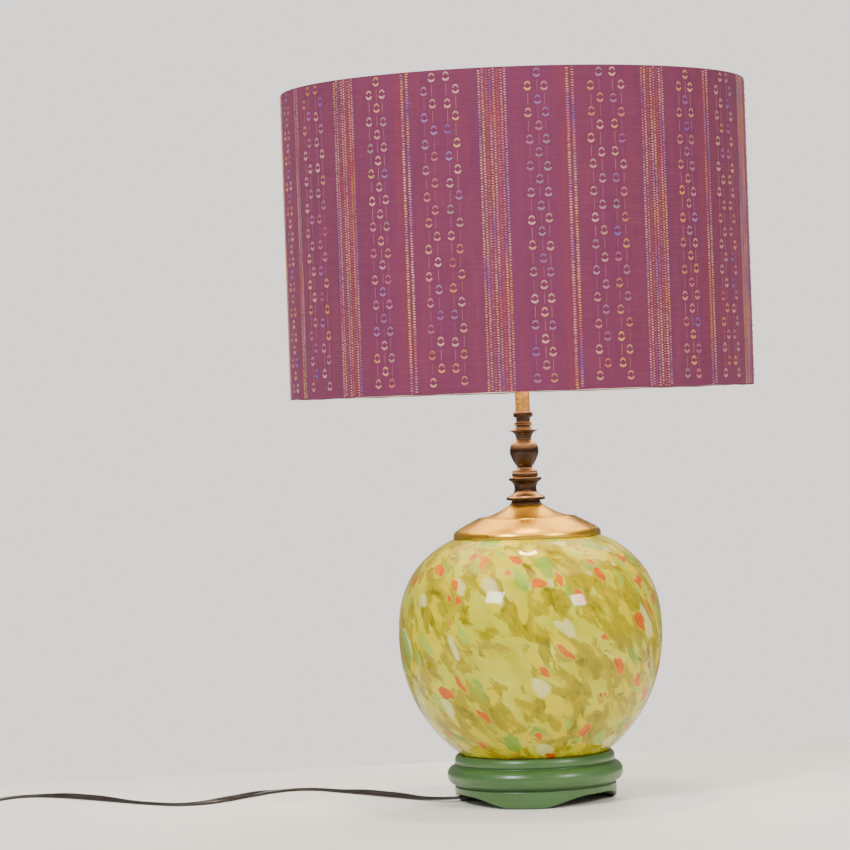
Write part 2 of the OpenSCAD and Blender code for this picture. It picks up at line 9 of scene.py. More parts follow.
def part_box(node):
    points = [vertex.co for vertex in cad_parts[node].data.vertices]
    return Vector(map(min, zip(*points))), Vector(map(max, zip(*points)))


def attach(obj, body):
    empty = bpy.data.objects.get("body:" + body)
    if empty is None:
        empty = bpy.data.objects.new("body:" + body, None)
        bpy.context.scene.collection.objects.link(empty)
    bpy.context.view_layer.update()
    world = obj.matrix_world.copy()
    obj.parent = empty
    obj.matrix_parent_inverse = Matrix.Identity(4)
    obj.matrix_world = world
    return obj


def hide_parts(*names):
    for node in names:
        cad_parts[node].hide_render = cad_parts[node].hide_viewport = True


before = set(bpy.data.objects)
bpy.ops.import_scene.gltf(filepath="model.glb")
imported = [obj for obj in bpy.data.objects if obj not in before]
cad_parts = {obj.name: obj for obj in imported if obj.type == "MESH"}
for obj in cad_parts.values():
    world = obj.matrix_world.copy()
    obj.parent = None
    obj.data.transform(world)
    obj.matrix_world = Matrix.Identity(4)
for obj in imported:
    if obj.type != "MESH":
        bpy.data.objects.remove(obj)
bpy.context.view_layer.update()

# ---- Camera ----
# A long lens three metres in front of the lamp, as high as the bottom of the shade and rolled a little.
camera_place = Vector((0, -2.99, 0.350))
turned_left, tipped_down, rolled = (math.radians(a) for a in (1.654, 0.326, 2.0))
ahead = Vector((-math.sin(turned_left) * math.cos(tipped_down),
                math.cos(turned_left) * math.cos(tipped_down), -math.sin(tipped_down)))
level_right = ahead.cross(Vector((0, 0, 1))).normalized()
level_up = level_right.cross(ahead)
camera_up = level_up * math.cos(rolled) + level_right * math.sin(rolled)
camera_data = bpy.data.cameras.new("camera")
camera_data.sensor_width = 36
camera_data.lens = 144
camera = bpy.data.objects.new("camera", camera_data)
camera.matrix_world = Matrix.Translation(camera_place) @ Matrix(
    (ahead.cross(camera_up), camera_up, -ahead)).transposed().to_4x4()
bpy.context.scene.collection.objects.link(camera)
bpy.context.scene.camera = camera


# ---- Mains lead ----
# A flat two-core lead in dark brown plastic. It comes out under an arch of the base, wanders over the
# table to the left, and its spare length is wound into a small coil that ends in a moulded plug.
mm = 0.001
lead_w = 5.2 * mm
lead_t = 2.6 * mm
route = np.array([
    [-66.8, 4.7, 3.8], [-76, 7.2, 3.2], [-87, 13.5, 2.8], [-99, 23, 2.7], [-112, 36, 2.7], [-127, 51, 2.7],
    [-143, 68, 2.7], [-161, 87, 2.7], [-180, 107, 2.7], [-200, 125, 2.7], [-221, 129, 2.7],
    [-241, 115, 2.7], [-258, 90, 2.7], [-276, 62, 2.7], [-298, 41, 2.7], [-322, 40, 2.7],
    [-348, 56, 2.7], [-376, 80, 2.7], [-404, 104, 2.7], [-430, 126, 2.7], [-454, 141, 2.7],
    [-475, 143, 2.7], [-490, 130, 2.7], [-498, 110, 2.7], [-504, 88, 2.7], [-509, 65, 2.7],
    [-514, 40, 2.7]]) * mm
coil_lo, coil_hi = (np.array(p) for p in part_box("cord_coil"))
coil_middle = (coil_lo + coil_hi) / 2
coil_start_r = (coil_hi[0] - coil_lo[0]) / 2 - lead_w / 2
turns_a_layer = 2.5


def through_points(points, parts):
    """A line through the points: each stretch is a Catmull-Rom cubic, cut into parts."""
    p = np.vstack([points[:1], points, points[-1:]])
    t = (np.arange(parts) / parts)[None, :, None]
    a, b, c, d = (p[i:len(p) - 3 + i][:, None, :] for i in range(4))
    line = 0.5 * (2 * b + (c - a) * t + (2 * a - 5 * b + 4 * c - d) * t ** 2
                  + (3 * b - a - 3 * c + d) * t ** 3)
    return np.vstack([line.reshape(-1, 3), points[-1:]])


def coil_line(steps_a_turn=48):
    """Turns laid clockwise: inwards along the table, half a turn while climbing, and outwards on top.
    The radius falls by the lead's width a turn and rises again, so the turns lie side by side."""
    s = np.arange(1, int((2 * turns_a_layer + 0.5) * steps_a_turn) + 1) / steps_a_turn
    inward = np.minimum(s, turns_a_layer)
    outward = np.clip(s - turns_a_layer - 0.5, 0, None)
    r = coil_start_r - lead_w * (inward - outward)
    climb = np.clip((s - turns_a_layer) / 0.5, 0, 1)
    climb = climb * climb * (3 - 2 * climb)
    angle = -2 * math.pi * s
    z = route[-1, 2] + lead_w * climb
    return np.stack([coil_middle[0] + r * np.cos(angle), coil_middle[1] + r * np.sin(angle), z], 1)


def new_mesh(name, points, faces):
    """A mesh object of these points and faces, shaded smooth."""
    mesh = bpy.data.meshes.new(name)
    mesh.from_pydata(np.asarray(points).reshape(-1, 3).tolist(), [], faces)
    mesh.shade_smooth()
    piece = bpy.data.objects.new(name, mesh)
    bpy.context.scene.collection.objects.link(piece)
    return piece


def grid_faces(rows, columns, round_rows=False, round_columns=True, first=0):
    """Four-sided faces between neighbours of a grid of rows by columns, closed where it goes round."""
    i = np.arange(rows if round_rows else rows - 1)[:, None]
    k = np.arange(columns if round_columns else columns - 1)[None, :]
    a = i * columns + k
    b = i * columns + (k + 1) % columns
    c = (i + 1) % rows * columns + (k + 1) % columns
    d = (i + 1) % rows * columns + k
    return (np.stack([a, b, c, d], 2).reshape(-1, 4) + first).tolist()


def along(line):
    """Unit directions of a line at its points."""
    ahead = np.gradient(line, axis=0)
    return ahead / np.linalg.norm(ahead, axis=1, keepdims=True)


def carried(name, line, outline, across=(0, 0, 1)):
    """An outline carried along a line: row i holds outline[i], whose two columns run sideways and
    upwards, square to the line. Both ends are closed. The surface has a map of metres round and along."""
    ahead = along(line)
    side = np.cross(ahead, across)
    side /= np.linalg.norm(side, axis=1, keepdims=True)
    above = np.cross(side, ahead)
    rows, columns = outline.shape[:2]
    points = line[:, None, :] + outline[:, :, :1] * side[:, None, :] + outline[:, :, 1:] * above[:, None, :]
    faces = grid_faces(rows, columns)
    faces += [list(range(columns))[::-1], list(range((rows - 1) * columns, rows * columns))]
    piece = new_mesh(name, points, faces)
    far = np.concatenate([[0], np.cumsum(np.linalg.norm(np.diff(line, axis=0), axis=1))])
    around = np.linspace(0, np.abs(outline[0]).max() * 2 * math.pi, columns + 1)
    uv = piece.data.uv_layers.new(name="surface")
    corners = [(around[k + e], far[i + u]) for i in range(rows - 1) for k in range(columns)
               for e, u in ((0, 0), (1, 0), (1, 1), (0, 1))]
    corners += [(0, 0)] * columns + [(0, far[-1])] * columns
    uv.data.foreach_set("uv", np.array(corners, dtype=np.float32).ravel())
    return piece


tail_lo, tail_hi = (np.array(p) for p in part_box("cord_tail"))
tail_line = np.tile((tail_lo + tail_hi) / 2, (8, 1))
tail_line[:, 1] = np.linspace(tail_lo[1], tail_hi[1], 9)[1:]
lead_line = np.vstack([through_points(route, 8), coil_line(), tail_line])
walked = np.concatenate([[0], np.cumsum(np.linalg.norm(np.diff(lead_line, axis=0), axis=1))])
coil_from = walked[len(through_points(route, 8)) - 1]

# The lead rolls over now and then, so that its flat side and its edge show in turn, and stands on its
# edge where the coil begins.
stands_up_over = 0.04
roll_over = 0.5 * math.pi * np.sin(math.pi * np.clip(walked / coil_from, 0, 1) * 3.5) ** 4
onto_edge = np.clip((walked - coil_from + stands_up_over) / stands_up_over, 0, 1)
roll_over = np.where(walked > coil_from - stands_up_over, 0.5 * math.pi * onto_edge, roll_over)
# From the base it comes down onto the table, and it lies lowest where it is flat.
comes_down_over, table_gap = 0.05, 0.1 * mm
laid = np.clip(walked / comes_down_over, 0, 1) ** 2 * (walked < coil_from)
lead_line[:, 2] += laid * (lead_t / 2 * (1 + np.abs(np.sin(roll_over))) + table_gap - lead_line[:, 2])


def two_core_outline(turn, corners=24):
    """Two round cores side by side with a thin web between them, turned by the lead's roll.
    Height over width follows the circle of each core and never falls under the web's."""
    t = np.arange(corners) / corners * 2 * math.pi
    x = lead_w / 2 * np.cos(t)
    core = lead_t / 2
    y = np.sqrt(np.clip(core ** 2 - (np.abs(x) - (lead_w / 2 - core)) ** 2, 0, None))
    y = np.sign(np.sin(t)) * np.maximum(y, np.where(np.abs(x) < lead_w / 4, 0.45 * core, 0))
    c, s = np.cos(turn)[:, None], np.sin(turn)[:, None]
    return np.stack([c * x - s * y, s * x + c * y], 2)


lead = carried("mains_lead", lead_line, two_core_outline(roll_over))
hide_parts("cord_tube", "cord_coil", "cord_tail")
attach(lead, "root")


class Paint:
    """A material's nodes, with short calls for the kinds used here."""

    def __init__(self, name, **sockets):
        self.material = bpy.data.materials.new(name)
        self.material.use_nodes = True
        self.tree = self.material.node_tree
        self.shader = self.tree.nodes["Principled BSDF"]
        for socket, value in sockets.items():
            self.shader.inputs[socket.replace("_", " ")].default_value = value

    def node(self, kind, settings=None, **inputs):
        node = self.tree.nodes.new("ShaderNode" + kind)
        for key, value in (settings or {}).items():
            setattr(node, key, value)
        for key, value in inputs.items():
            socket = node.inputs[int(key[1:]) if key[0] == "n" and key[1:].isdigit() else key]
            if isinstance(value, bpy.types.NodeSocket):
                self.tree.links.new(value, socket)
            else:
                socket.default_value = value
        return node

    def place(self, scale=(1, 1, 1), turn=(0, 0, 0), uv=False):
        """The surface point, from the object's own space or from its map, scaled and turned."""
        source = self.node("TexCoord").outputs["UV" if uv else "Object"]
        return self.node("Mapping", Vector=source, Scale=scale, Rotation=turn).outputs[0]

    def noise(self, vector, scale, detail=3, rough=0.55, warp=0):
        node = self.node("TexNoise", Vector=vector, Scale=scale, Detail=detail, Roughness=rough,
                         Distortion=warp)
        return node.outputs["Fac"]

    def ramp(self, value, *stops, smooth=True):
        """Colours or greys by value: stops are (position, colour)."""
        node = self.node("ValToRGB", Fac=value)
        node.color_ramp.interpolation = "EASE" if smooth else "LINEAR"
        while len(node.color_ramp.elements) < len(stops):
            node.color_ramp.elements.new(1)
        for element, (position, colour) in zip(node.color_ramp.elements, stops):
            element.position = position
            element.color = (*colour, 1) if len(colour) == 3 else (colour[0],) * 3 + (1,)
        return node.outputs["Color"]

    def mix(self, share, a, b, how="MIX"):
        node = self.node("Mix", {"data_type": "RGBA", "blend_type": how}, n0=share, n6=a, n7=b)
        return node.outputs[2]

    def height(self):
        return self.node("SeparateXYZ", Vector=self.place()).outputs["Z"]

    def math(self, how, a, b=0.0, c=0.0):
        return self.node("Math", {"operation": how}, n0=a, n1=b, n2=c).outputs[0]

    def bump(self, height, depth, strength=1.0, under=None):
        """A relief of this height pattern, depth metres deep."""
        node = self.node("Bump", Height=height, Distance=depth, Strength=strength)
        if under is not None:
            self.tree.links.new(under, node.inputs["Normal"])
        return node.outputs["Normal"]

    def wire(self, **sockets):
        for socket, output in sockets.items():
            self.tree.links.new(output, self.shader.inputs[socket.replace("_", " ")])
        return self.material

    def on(self, *things):
        for thing in things:
            thing.data.materials.clear()
            thing.data.materials.append(self.material)


def plastic(name, dark, light, rough=0.42):
    """Moulded plastic: a faint cloud between two colours and a fine orange-peel skin."""
    p = Paint(name)
    spot = p.place()
    cloud = p.noise(spot, 90, 4)
    p.wire(Base_Color=p.ramp(cloud, (0.3, dark), (0.7, light)),
           Roughness=p.ramp(p.noise(spot, 260), (0.3, (rough - 0.08,)), (0.7, (rough + 0.1,))),
           Normal=p.bump(p.noise(spot, 1800, 2), 0.00006, 0.6))
    return p


lead_plastic = plastic("brown_lead_plastic", (0.014, 0.010, 0.007), (0.026, 0.019, 0.014))
black_plastic = plastic("black_plastic", (0.012, 0.012, 0.012), (0.03, 0.03, 0.03), 0.5)
lead_plastic.on(lead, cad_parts["strain_relief"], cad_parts["inner_lead"])


# ---- Plug ----
# A two-blade plug moulded onto the end of the lead, with a ribbed, tapered sleeve where the lead goes in.
plug_lo, plug_hi = (np.array(p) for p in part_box("plug_body"))
plug_sleeve = 22 * mm
plug_rows = 120


def plug_outline():
    """Sections from the sleeve's tip to the plug's face. Each is a rounded rectangle, a superellipse,
    that swells from the round sleeve to the flat body; rings on the sleeve are a cosine on its size."""
    y = np.linspace(0, 1, plug_rows) * (plug_hi[1] - plug_lo[1])
    body = np.clip((y - plug_sleeve) / (5 * mm), 0, 1)
    body = body * body * (3 - 2 * body)
    end = np.clip((plug_hi[1] - plug_lo[1] - y) / (2.5 * mm), 0, 1)
    end = 1 - (1 - np.sqrt(1 - (1 - end) ** 2)) * 0.12
    sleeve = 3.1 * mm + 1.7 * mm * np.clip(y / plug_sleeve, 0, 1)
    rings = 0.35 * mm * np.cos(y / plug_sleeve * 2 * math.pi * 6) * (body == 0)
    grip = 1 - 0.10 * body * np.exp(-((y - plug_sleeve - 13 * mm) / (6 * mm)) ** 2)
    half_w = (sleeve + rings) * (1 - body) + (plug_hi[0] - plug_lo[0]) / 2 * grip * body
    half_t = (sleeve + rings) * (1 - body) + (plug_hi[2] - plug_lo[2]) / 2 * body
    t = np.arange(48) / 48 * 2 * math.pi
    power = (1 - 0.55 * body)[:, None]
    x = np.sign(np.cos(t)) * np.abs(np.cos(t)) ** power
    z = np.sign(np.sin(t)) * np.abs(np.sin(t)) ** power
    return y, np.stack([x * (half_w * end)[:, None], z * (half_t * end)[:, None]], 2)


plug_y, plug_sections = plug_outline()
tail_z = tail_line[0, 2]
body_z = (plug_lo[2] + plug_hi[2]) / 2
sink = np.clip(plug_y / plug_sleeve, 0, 1)
plug_line = np.stack([np.full(plug_rows, (plug_lo[0] + plug_hi[0]) / 2), plug_lo[1] + plug_y,
                      tail_z + (body_z - tail_z) * sink * sink * (3 - 2 * sink)], 1)
plug = carried("plug_moulding", plug_line, plug_sections)
lead_plastic.on(plug)
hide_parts("plug_body")
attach(plug, "root")


# The wire tie is a flat black strip wound twice round the turns of the coil.
tie_direction = math.radians(-50)
turns_reach = (turns_a_layer * lead_w + lead_w) / 2
tie_middle_r = coil_start_r - turns_a_layer * lead_w / 2


def tie_loop():
    """A flat strip round a rounded rectangle, a superellipse as wide as the turns and as high as two."""
    t = np.linspace(0, 2 * math.pi, 97)[:-1]
    x = (turns_reach + 0.5 * mm) * np.sign(np.cos(t)) * np.abs(np.cos(t)) ** 0.4
    z = (lead_w + 0.5 * mm) * np.sign(np.sin(t)) * np.abs(np.sin(t)) ** 0.4 + lead_w + 0.2 * mm
    thick = 0.35 * mm
    out_x, out_z = x + thick * np.sign(np.cos(t)) * np.abs(np.cos(t)), z + thick * np.sin(t)
    half_w = 2 * mm
    rim = [(x, z, -half_w), (out_x, out_z, -half_w), (out_x, out_z, half_w), (x, z, half_w)]
    radial = tie_middle_r + np.stack([r[0] for r in rim])
    height = np.maximum(np.stack([r[1] for r in rim]), 0.1 * mm)
    sideways = np.stack([np.full(96, r[2]) for r in rim])
    c, s = math.cos(tie_direction), math.sin(tie_direction)
    return np.stack([coil_middle[0] + radial * c - sideways * s, coil_middle[1] + radial * s + sideways * c,
                     height], 2)


tie = new_mesh("tie_strip", tie_loop(), grid_faces(4, 96, round_rows=True))
black_plastic.on(tie)
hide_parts("coil_tie")
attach(tie, "root")


# ---- Floor and light ----
# A table top under a pale cloth, three soft lamps and an even room. They are the studio and not the part;
# the lamp's own bulb is lit too.
table_half_w, table_front, table_back, table_skew = 3.0, -2.2, 0.36, 0.19
floor = new_mesh("table_top", [[-table_half_w, table_front, 0], [table_half_w, table_front, 0],
                               [table_half_w, table_back + table_half_w * table_skew, 0],
                               [-table_half_w, table_back - table_half_w * table_skew, 0]], [[0, 1, 2, 3]])
cloth = Paint("pale_cloth", Roughness=0.9)
cloth.wire(Base_Color=cloth.ramp(cloth.noise(cloth.place(), 3, 5), (0.3, (0.90, 0.85, 0.79)),
                                 (0.7, (0.95, 0.91, 0.85))),
           Normal=cloth.bump(cloth.noise(cloth.place(), 9, 4), 0.004, 0.35))
cloth.on(floor)

world = bpy.data.worlds.new("studio")
world.use_nodes = True
sky = world.node_tree.nodes["Background"]
sky.inputs["Color"].default_value = (0.86, 0.815, 0.775, 1)
# The room is seen brighter than it lights and is mirrored, so that its even light doesn't wash out the
# lamp's colours.
seen, lit = 1.75, 0.62
mirrored = 0.34
ray = world.node_tree.nodes.new("ShaderNodeLightPath")
strength = sky.inputs["Strength"]
for kind, value in (("Is Camera Ray", seen), ("Is Glossy Ray", mirrored)):
    room = world.node_tree.nodes.new("ShaderNodeMapRange")
    room.inputs["To Max"].default_value = value
    world.node_tree.links.new(ray.outputs[kind], room.inputs["Value"])
    world.node_tree.links.new(room.outputs["Result"], strength)
    strength = room.inputs["To Min"]
strength.default_value = lit
bpy.context.scene.world = world


def soft_light(name, place, aim, size, watts, colour=(1, 1, 1)):
    """A square lamp at place, facing aim."""
    data = bpy.data.lights.new(name, "AREA")
    data.energy, data.size, data.color = watts, size, colour
    light = bpy.data.objects.new(name, data)
    light.location = place
    light.rotation_euler = (Vector(aim) - Vector(place)).to_track_quat("-Z", "Y").to_euler()
    bpy.context.scene.collection.objects.link(light)


soft_light("key", (-1.5, -2.2, 2.0), (0, 0, 0.35), 0.8, 95)
soft_light("fill", (1.9, -1.8, 1.5), (0, 0, 0.3), 0.6, 48, (1.0, 0.96, 0.90))
soft_light("back", (0.6, 1.8, 2.2), (0, 0, 0.4), 1.2, 60)


# ---- Wood base ----
# The base is turned from one block of hardwood, its foot is sawn into three low arches, and it is
# brushed with green satin paint. The globe sits in the dish on its top.
base_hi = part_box("wood_base")[1]
base_r = base_hi[1]
base_h = base_hi[2]
band_r = base_r - 6.2 * mm
band_h = 15 * mm
bead_low, bead_high = 16.7 * mm, base_h - 9.6 * mm
recess_r = 58 * mm
recess_top = 22 * mm
seat_r = 65 * mm
arch_h = 9.6 * mm
arch_half_w = 0.74 * band_r
arch_power = 3
arch_toe = 1.5
foot_turns = np.radians([-97, 23, 143])
rod_hole_r = 5.15 * mm

globe_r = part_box("glass_globe")[1][0]
globe_below = 125.8 * mm
globe_above = 95.3 * mm
dome_power = 2.4
globe_z = base_h + globe_below * math.sqrt(1 - (seat_r / globe_r) ** 2)


def globe_under(r):
    """Height of the globe's surface below its widest place: half an ellipse."""
    return globe_z - globe_below * np.sqrt(1 - (r / globe_r) ** 2)


def globe_over(r):
    """Height of the globe's surface above its widest place: a fuller dome, a superellipse."""
    return globe_z + globe_above * (1 - (r / globe_r) ** dome_power) ** (1 / dome_power)


def bend(p, c, q, steps=10):
    """A curved stretch from p to q that is pulled towards c: a quadratic curve."""
    t = np.linspace(0, 1, steps + 1)[:, None]
    p, c, q = (np.array(v, dtype=float) for v in (p, c, q))
    return (1 - t) ** 2 * p + 2 * t * (1 - t) * c + t * t * q


def softened(outline, reach, steps=3):
    """The closed outline with each corner cut back by reach and rounded by a quadratic curve.
    Where the neighbours are nearer than that, the corner is cut back to 0.35 of the way to them."""
    before, after = np.roll(outline, 1, 0) - outline, np.roll(outline, -1, 0) - outline
    far_before = np.linalg.norm(before, axis=1, keepdims=True)
    far_after = np.linalg.norm(after, axis=1, keepdims=True)
    start = outline + before / far_before * np.minimum(reach, 0.35 * far_before)
    end = outline + after / far_after * np.minimum(reach, 0.35 * far_after)
    t = (np.arange(steps + 1) / steps)[None, :, None]
    curve = (1 - t) ** 2 * start[:, None] + 2 * t * (1 - t) * outline[:, None] + t * t * end[:, None]
    return curve.reshape(-1, 2)


def outward(piece, weld=1e-6):
    """Weld the points that coincide and turn every face of the closed surface outwards."""
    work = bmesh.new()
    work.from_mesh(piece.data)
    bmesh.ops.remove_doubles(work, verts=work.verts, dist=weld)
    bmesh.ops.dissolve_degenerate(work, edges=work.edges, dist=weld)
    bmesh.ops.recalc_face_normals(work, faces=work.faces)
    work.to_mesh(piece.data)
    work.free()
    return piece


def turned(name, outline, columns=144, middle=(0, 0)):
    """A closed outline of (radius, height) spun about an upright axis through middle."""
    turn = np.arange(columns) / columns * 2 * math.pi
    r, z = np.asarray(outline, dtype=float).T
    points = np.stack([middle[0] + r[:, None] * np.cos(turn), middle[1] + r[:, None] * np.sin(turn),
                       np.broadcast_to(z[:, None], (len(r), columns))], 2)
    return outward(new_mesh(name, points, grid_faces(len(r), columns, round_rows=True)))


def finish_piece(piece, body, slot, paint, *nodes):
    """Give a new piece its material and its body, and hide the CAD nodes that it stands for."""
    paint.on(piece)
    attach(piece, body)
    if nodes:
        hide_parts(*nodes)
    return piece


def base_outline():
    """Outline of the base, anticlockwise from the inside of its foot: foot, plain band, big bead,
    cove, rim, dish, shelf for the gasket, hole for the rod, and the hollow underneath."""
    bead_mid, bead_half = (bead_low + bead_high) / 2, (bead_high - bead_low) / 2
    a = np.radians(np.arange(-90, 91, 6))
    bead = np.stack([base_r - 7.2 * mm + 7.2 * mm * np.cos(a), bead_mid + bead_half * np.sin(a)], 1)
    foot = np.stack([np.linspace(recess_r, band_r - 1 * mm, 12), np.zeros(12)], 1)
    band = np.stack([np.full(12, band_r), np.linspace(1 * mm, band_h - 0.6 * mm, 12)], 1)
    rim = bend((seat_r + 5.2 * mm, bead_high + 1.8 * mm), (seat_r + 6 * mm, base_h),
               (seat_r + 0.6 * mm, base_h), 14)
    dish_r = np.arange(seat_r, seat_r - 2.01 * mm, -0.5 * mm)
    dish = np.stack([dish_r, globe_under(dish_r) - 0.4 * mm], 1)
    shelf = globe_under(seat_r - 10 * mm) - 2 * mm
    inside = np.array([[seat_r - 2 * mm, shelf], [seat_r - 11 * mm, shelf], [seat_r - 11 * mm, 28 * mm],
                       [rod_hole_r, 28 * mm], [rod_hole_r, recess_top]])
    ceiling = np.stack([np.linspace(rod_hole_r + 2 * mm, recess_r, 10), np.full(10, recess_top)], 1)
    wall = np.stack([np.full(11, recess_r), np.linspace(recess_top - 2 * mm, 0.8 * mm, 11)], 1)
    hollow = np.concatenate([ceiling, wall])
    return np.vstack([foot, band, [[band_r - 0.7 * mm, band_h]], [[base_r - 7.6 * mm, bead_low - 0.9 * mm]],
                      bead, [[seat_r + 4.2 * mm, bead_high + 0.8 * mm]], rim, dish, inside, hollow])


def wood_base():
    """The spun outline, with its foot lifted into arches. Across an arch the cut stands at
    arch_h times one minus the cube of the sideways share, all to the power of arch_toe, and the wood
    under band_h shrinks in height to make room for it."""
    r, z = softened(base_outline(), 0.5 * mm, 2).T
    turn = np.arange(288) / 288 * 2 * math.pi
    from_arch = np.min(np.abs((turn[None, :] - foot_turns[:, None] - math.pi / 3 + math.pi)
                              % (2 * math.pi) - math.pi), axis=0)
    share = np.clip(r[:, None] * np.sin(from_arch)[None, :] / arch_half_w, -1, 1)
    cut = arch_h * (1 - np.abs(share) ** arch_power) ** arch_toe
    room = np.where(r > recess_r + 1 * mm, band_h, recess_top)[:, None]
    lifted = np.where(z[:, None] < room, cut + z[:, None] * (1 - cut / room), z[:, None])
    points = np.stack([r[:, None] * np.cos(turn), r[:, None] * np.sin(turn), lifted], 2)
    return outward(new_mesh("turned_base", points, grid_faces(len(r), len(turn), round_rows=True)))


green_paint = Paint("green_satin_paint", Coat_Weight=0.25, Coat_Roughness=0.22)
spot = green_paint.place()
round_cloud = green_paint.noise(spot, 22, 5, 0.6)
brushed = green_paint.noise(green_paint.place((3, 3, 260)), 4, 3)
lathe_line = green_paint.noise(green_paint.place((1, 1, 900)), 2, 2)
cloudy_green = green_paint.ramp(round_cloud, (0.3, (0.034, 0.098, 0.022)), (0.7, (0.052, 0.132, 0.034)))
brushed_green = green_paint.ramp(brushed, (0.35, (0.035, 0.100, 0.024)), (0.65, (0.058, 0.142, 0.040)))
green = green_paint.mix(0.35, cloudy_green, brushed_green)
# Painted shade: ambient occlusion darkens the green paint in the hollows of the turning, as if shade fell
# there.
painted_shade_in_hollows = green_paint.node("AmbientOcclusion", {"samples": 6}, Distance=0.006)
green = green_paint.mix(green_paint.ramp(painted_shade_in_hollows.outputs["AO"], (0.25, (0.75,)), (0.8, (0.0,))), green,
                        (0.014, 0.045, 0.014, 1))
grained = green_paint.bump(green_paint.noise(spot, 340, 4), 0.0002, 0.35)
green_paint.wire(
    Base_Color=green,
    Roughness=green_paint.ramp(round_cloud, (0.3, (0.30,)), (0.75, (0.44,))),
    Normal=green_paint.bump(lathe_line, 0.00012, 0.35, grained))
finish_piece(wood_base(), "root", "green_wood", green_paint, "wood_base")


# ---- Hardware under the base ----
# A steel washer, a split lock washer and a brass hex nut clamp the base, globe and neck onto the hollow
# threaded rod. A black plastic bushing keeps the rod's sharp end off the lead.
def metal(name, dark, light, rough, grain=(1, 1, 1), scale=40, depth=0.00004, **sockets):
    """Bare metal: a cloud between a dull and a bright colour, and a fine grain stretched one way."""
    p = Paint(name, Metallic=1, **sockets)
    cloud = p.noise(p.place(), scale, 5, 0.6)
    scratch = p.noise(p.place(grain), 320, 3)
    p.wire(Base_Color=p.ramp(cloud, (0.32, dark), (0.68, light)),
           Roughness=p.ramp(p.math("ADD", p.math("MULTIPLY", cloud, 0.5), p.math("MULTIPLY", scratch, 0.5)),
                            (0.35, (max(rough - 0.09, 0.04),)), (0.65, (rough + 0.11,))),
           Normal=p.bump(scratch, depth, 0.5))
    return p


zinc_steel = metal("zinc_plated_steel", (0.38, 0.39, 0.40), (0.62, 0.62, 0.60), 0.32)
plain_brass = metal("plain_brass", (0.50, 0.37, 0.16), (0.80, 0.62, 0.32), 0.28, (1, 1, 12))
threaded_brass = metal("threaded_brass", (0.42, 0.33, 0.18), (0.70, 0.58, 0.34), 0.34)
thread_pitch = 0.94 * mm
thread = threaded_brass.math("SINE", threaded_brass.math("MULTIPLY", threaded_brass.height(),
                                                         2 * math.pi / thread_pitch))
threaded_brass.wire(Normal=threaded_brass.bump(thread, 0.0002, 0.8))
zinc_steel.on(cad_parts["base_washer"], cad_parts["lock_washer"])
plain_brass.on(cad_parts["rod_nut"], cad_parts["plug_blades"])
threaded_brass.on(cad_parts["threaded_rod"])
black_plastic.on(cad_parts["rod_bushing"])

rubber = plastic("gasket_rubber", (0.014, 0.014, 0.014), (0.035, 0.034, 0.032), 0.7)
rubber.on(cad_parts["globe_gasket"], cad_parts["cap_gasket"])


# ---- Glass globe ----
# Blown art glass: chips of coloured glass are rolled onto a cream gather, swirled as it is blown,
# and cased in clear glass. It is open at both ends and sits on a rubber gasket in the base.
glass_t = 4.5 * mm
globe_open_low = 44.6 * mm
globe_open_high = 40 * mm


def globe_outline(steps=56):
    """Outside from the lower opening up to the upper one, and back down the inside. The inside is
    the same two curves with every size less the glass's thickness; the lips are fire-rounded."""
    a = np.linspace(0, math.pi / 2, steps)
    r_low = globe_open_low + (globe_r - globe_open_low) * np.sin(a)
    r_high = globe_open_high + (globe_r - globe_open_high) * np.sin(a[::-1])
    outside = np.vstack([np.stack([r_low, globe_under(r_low)], 1),
                         np.stack([r_high, globe_over(r_high)], 1)[1:]])
    shrink_r = 1 - glass_t / globe_r
    rise = np.where(outside[:, 1] < globe_z, 1 - glass_t / globe_below, 1 - glass_t / globe_above)
    inside = np.stack([outside[:, 0] * shrink_r, globe_z + (outside[:, 1] - globe_z) * rise], 1)
    return np.vstack([outside, inside[::-1]])


globe = turned("blown_globe", softened(globe_outline(), 1.2 * mm, 1), 192)

art_glass = Paint("blown_art_glass", Roughness=0.3, Specular_IOR_Level=0.05, Coat_Weight=0.5,
                  Coat_Roughness=0.02, Coat_IOR=1.5, Subsurface_Weight=0.04,
                  Subsurface_Radius=(0.012, 0.011, 0.002), Subsurface_Scale=1.0)
# The swirl: the higher a point is, the further round its pattern is turned, so the chips lean.
swirl_per_metre = 4.2
place = art_glass.place()
height = art_glass.node("SeparateXYZ", Vector=place).outputs["Z"]
swirled = art_glass.node("VectorRotate", {"rotation_type": "AXIS_ANGLE"}, Vector=place, Axis=(0, 0, 1),
                         Angle=art_glass.math("MULTIPLY", height, swirl_per_metre)).outputs[0]
stretched = art_glass.node("Mapping", Vector=swirled, Scale=(1, 1, 0.70)).outputs[0]
wobble = art_glass.node("TexNoise", Vector=stretched, Scale=28, Detail=3, Roughness=0.6)
wobbled = art_glass.node("MixRGB", {"blend_type": "LINEAR_LIGHT"}, Fac=0.016, Color1=stretched,
                         Color2=wobble.outputs["Color"]).outputs[0]


def chips(scale, size, chosen, soft=0.05, shift=(0, 0, 0), jitter=1.0):
    """Where the chips of one colour lie, 0 to 1. Each cell of a Voronoi pattern holds one chip at its
    middle, as wide as size, and the cells whose random number is under chosen have one."""
    vector = art_glass.node("Mapping", Vector=wobbled, Location=shift).outputs[0]
    cell = art_glass.node("TexVoronoi", {"feature": "F1"}, Vector=vector, Scale=scale, Randomness=jitter)
    number = art_glass.node("SeparateColor", Color=cell.outputs["Color"])
    inside = art_glass.node("MapRange", {"interpolation_type": "SMOOTHSTEP"}, n0=cell.outputs["Distance"],
                            n1=size + soft, n2=size - soft, n3=0.0, n4=1.0).outputs[0]
    picked = art_glass.math("LESS_THAN", number.outputs[0], chosen)
    return art_glass.math("MULTIPLY", inside, picked)


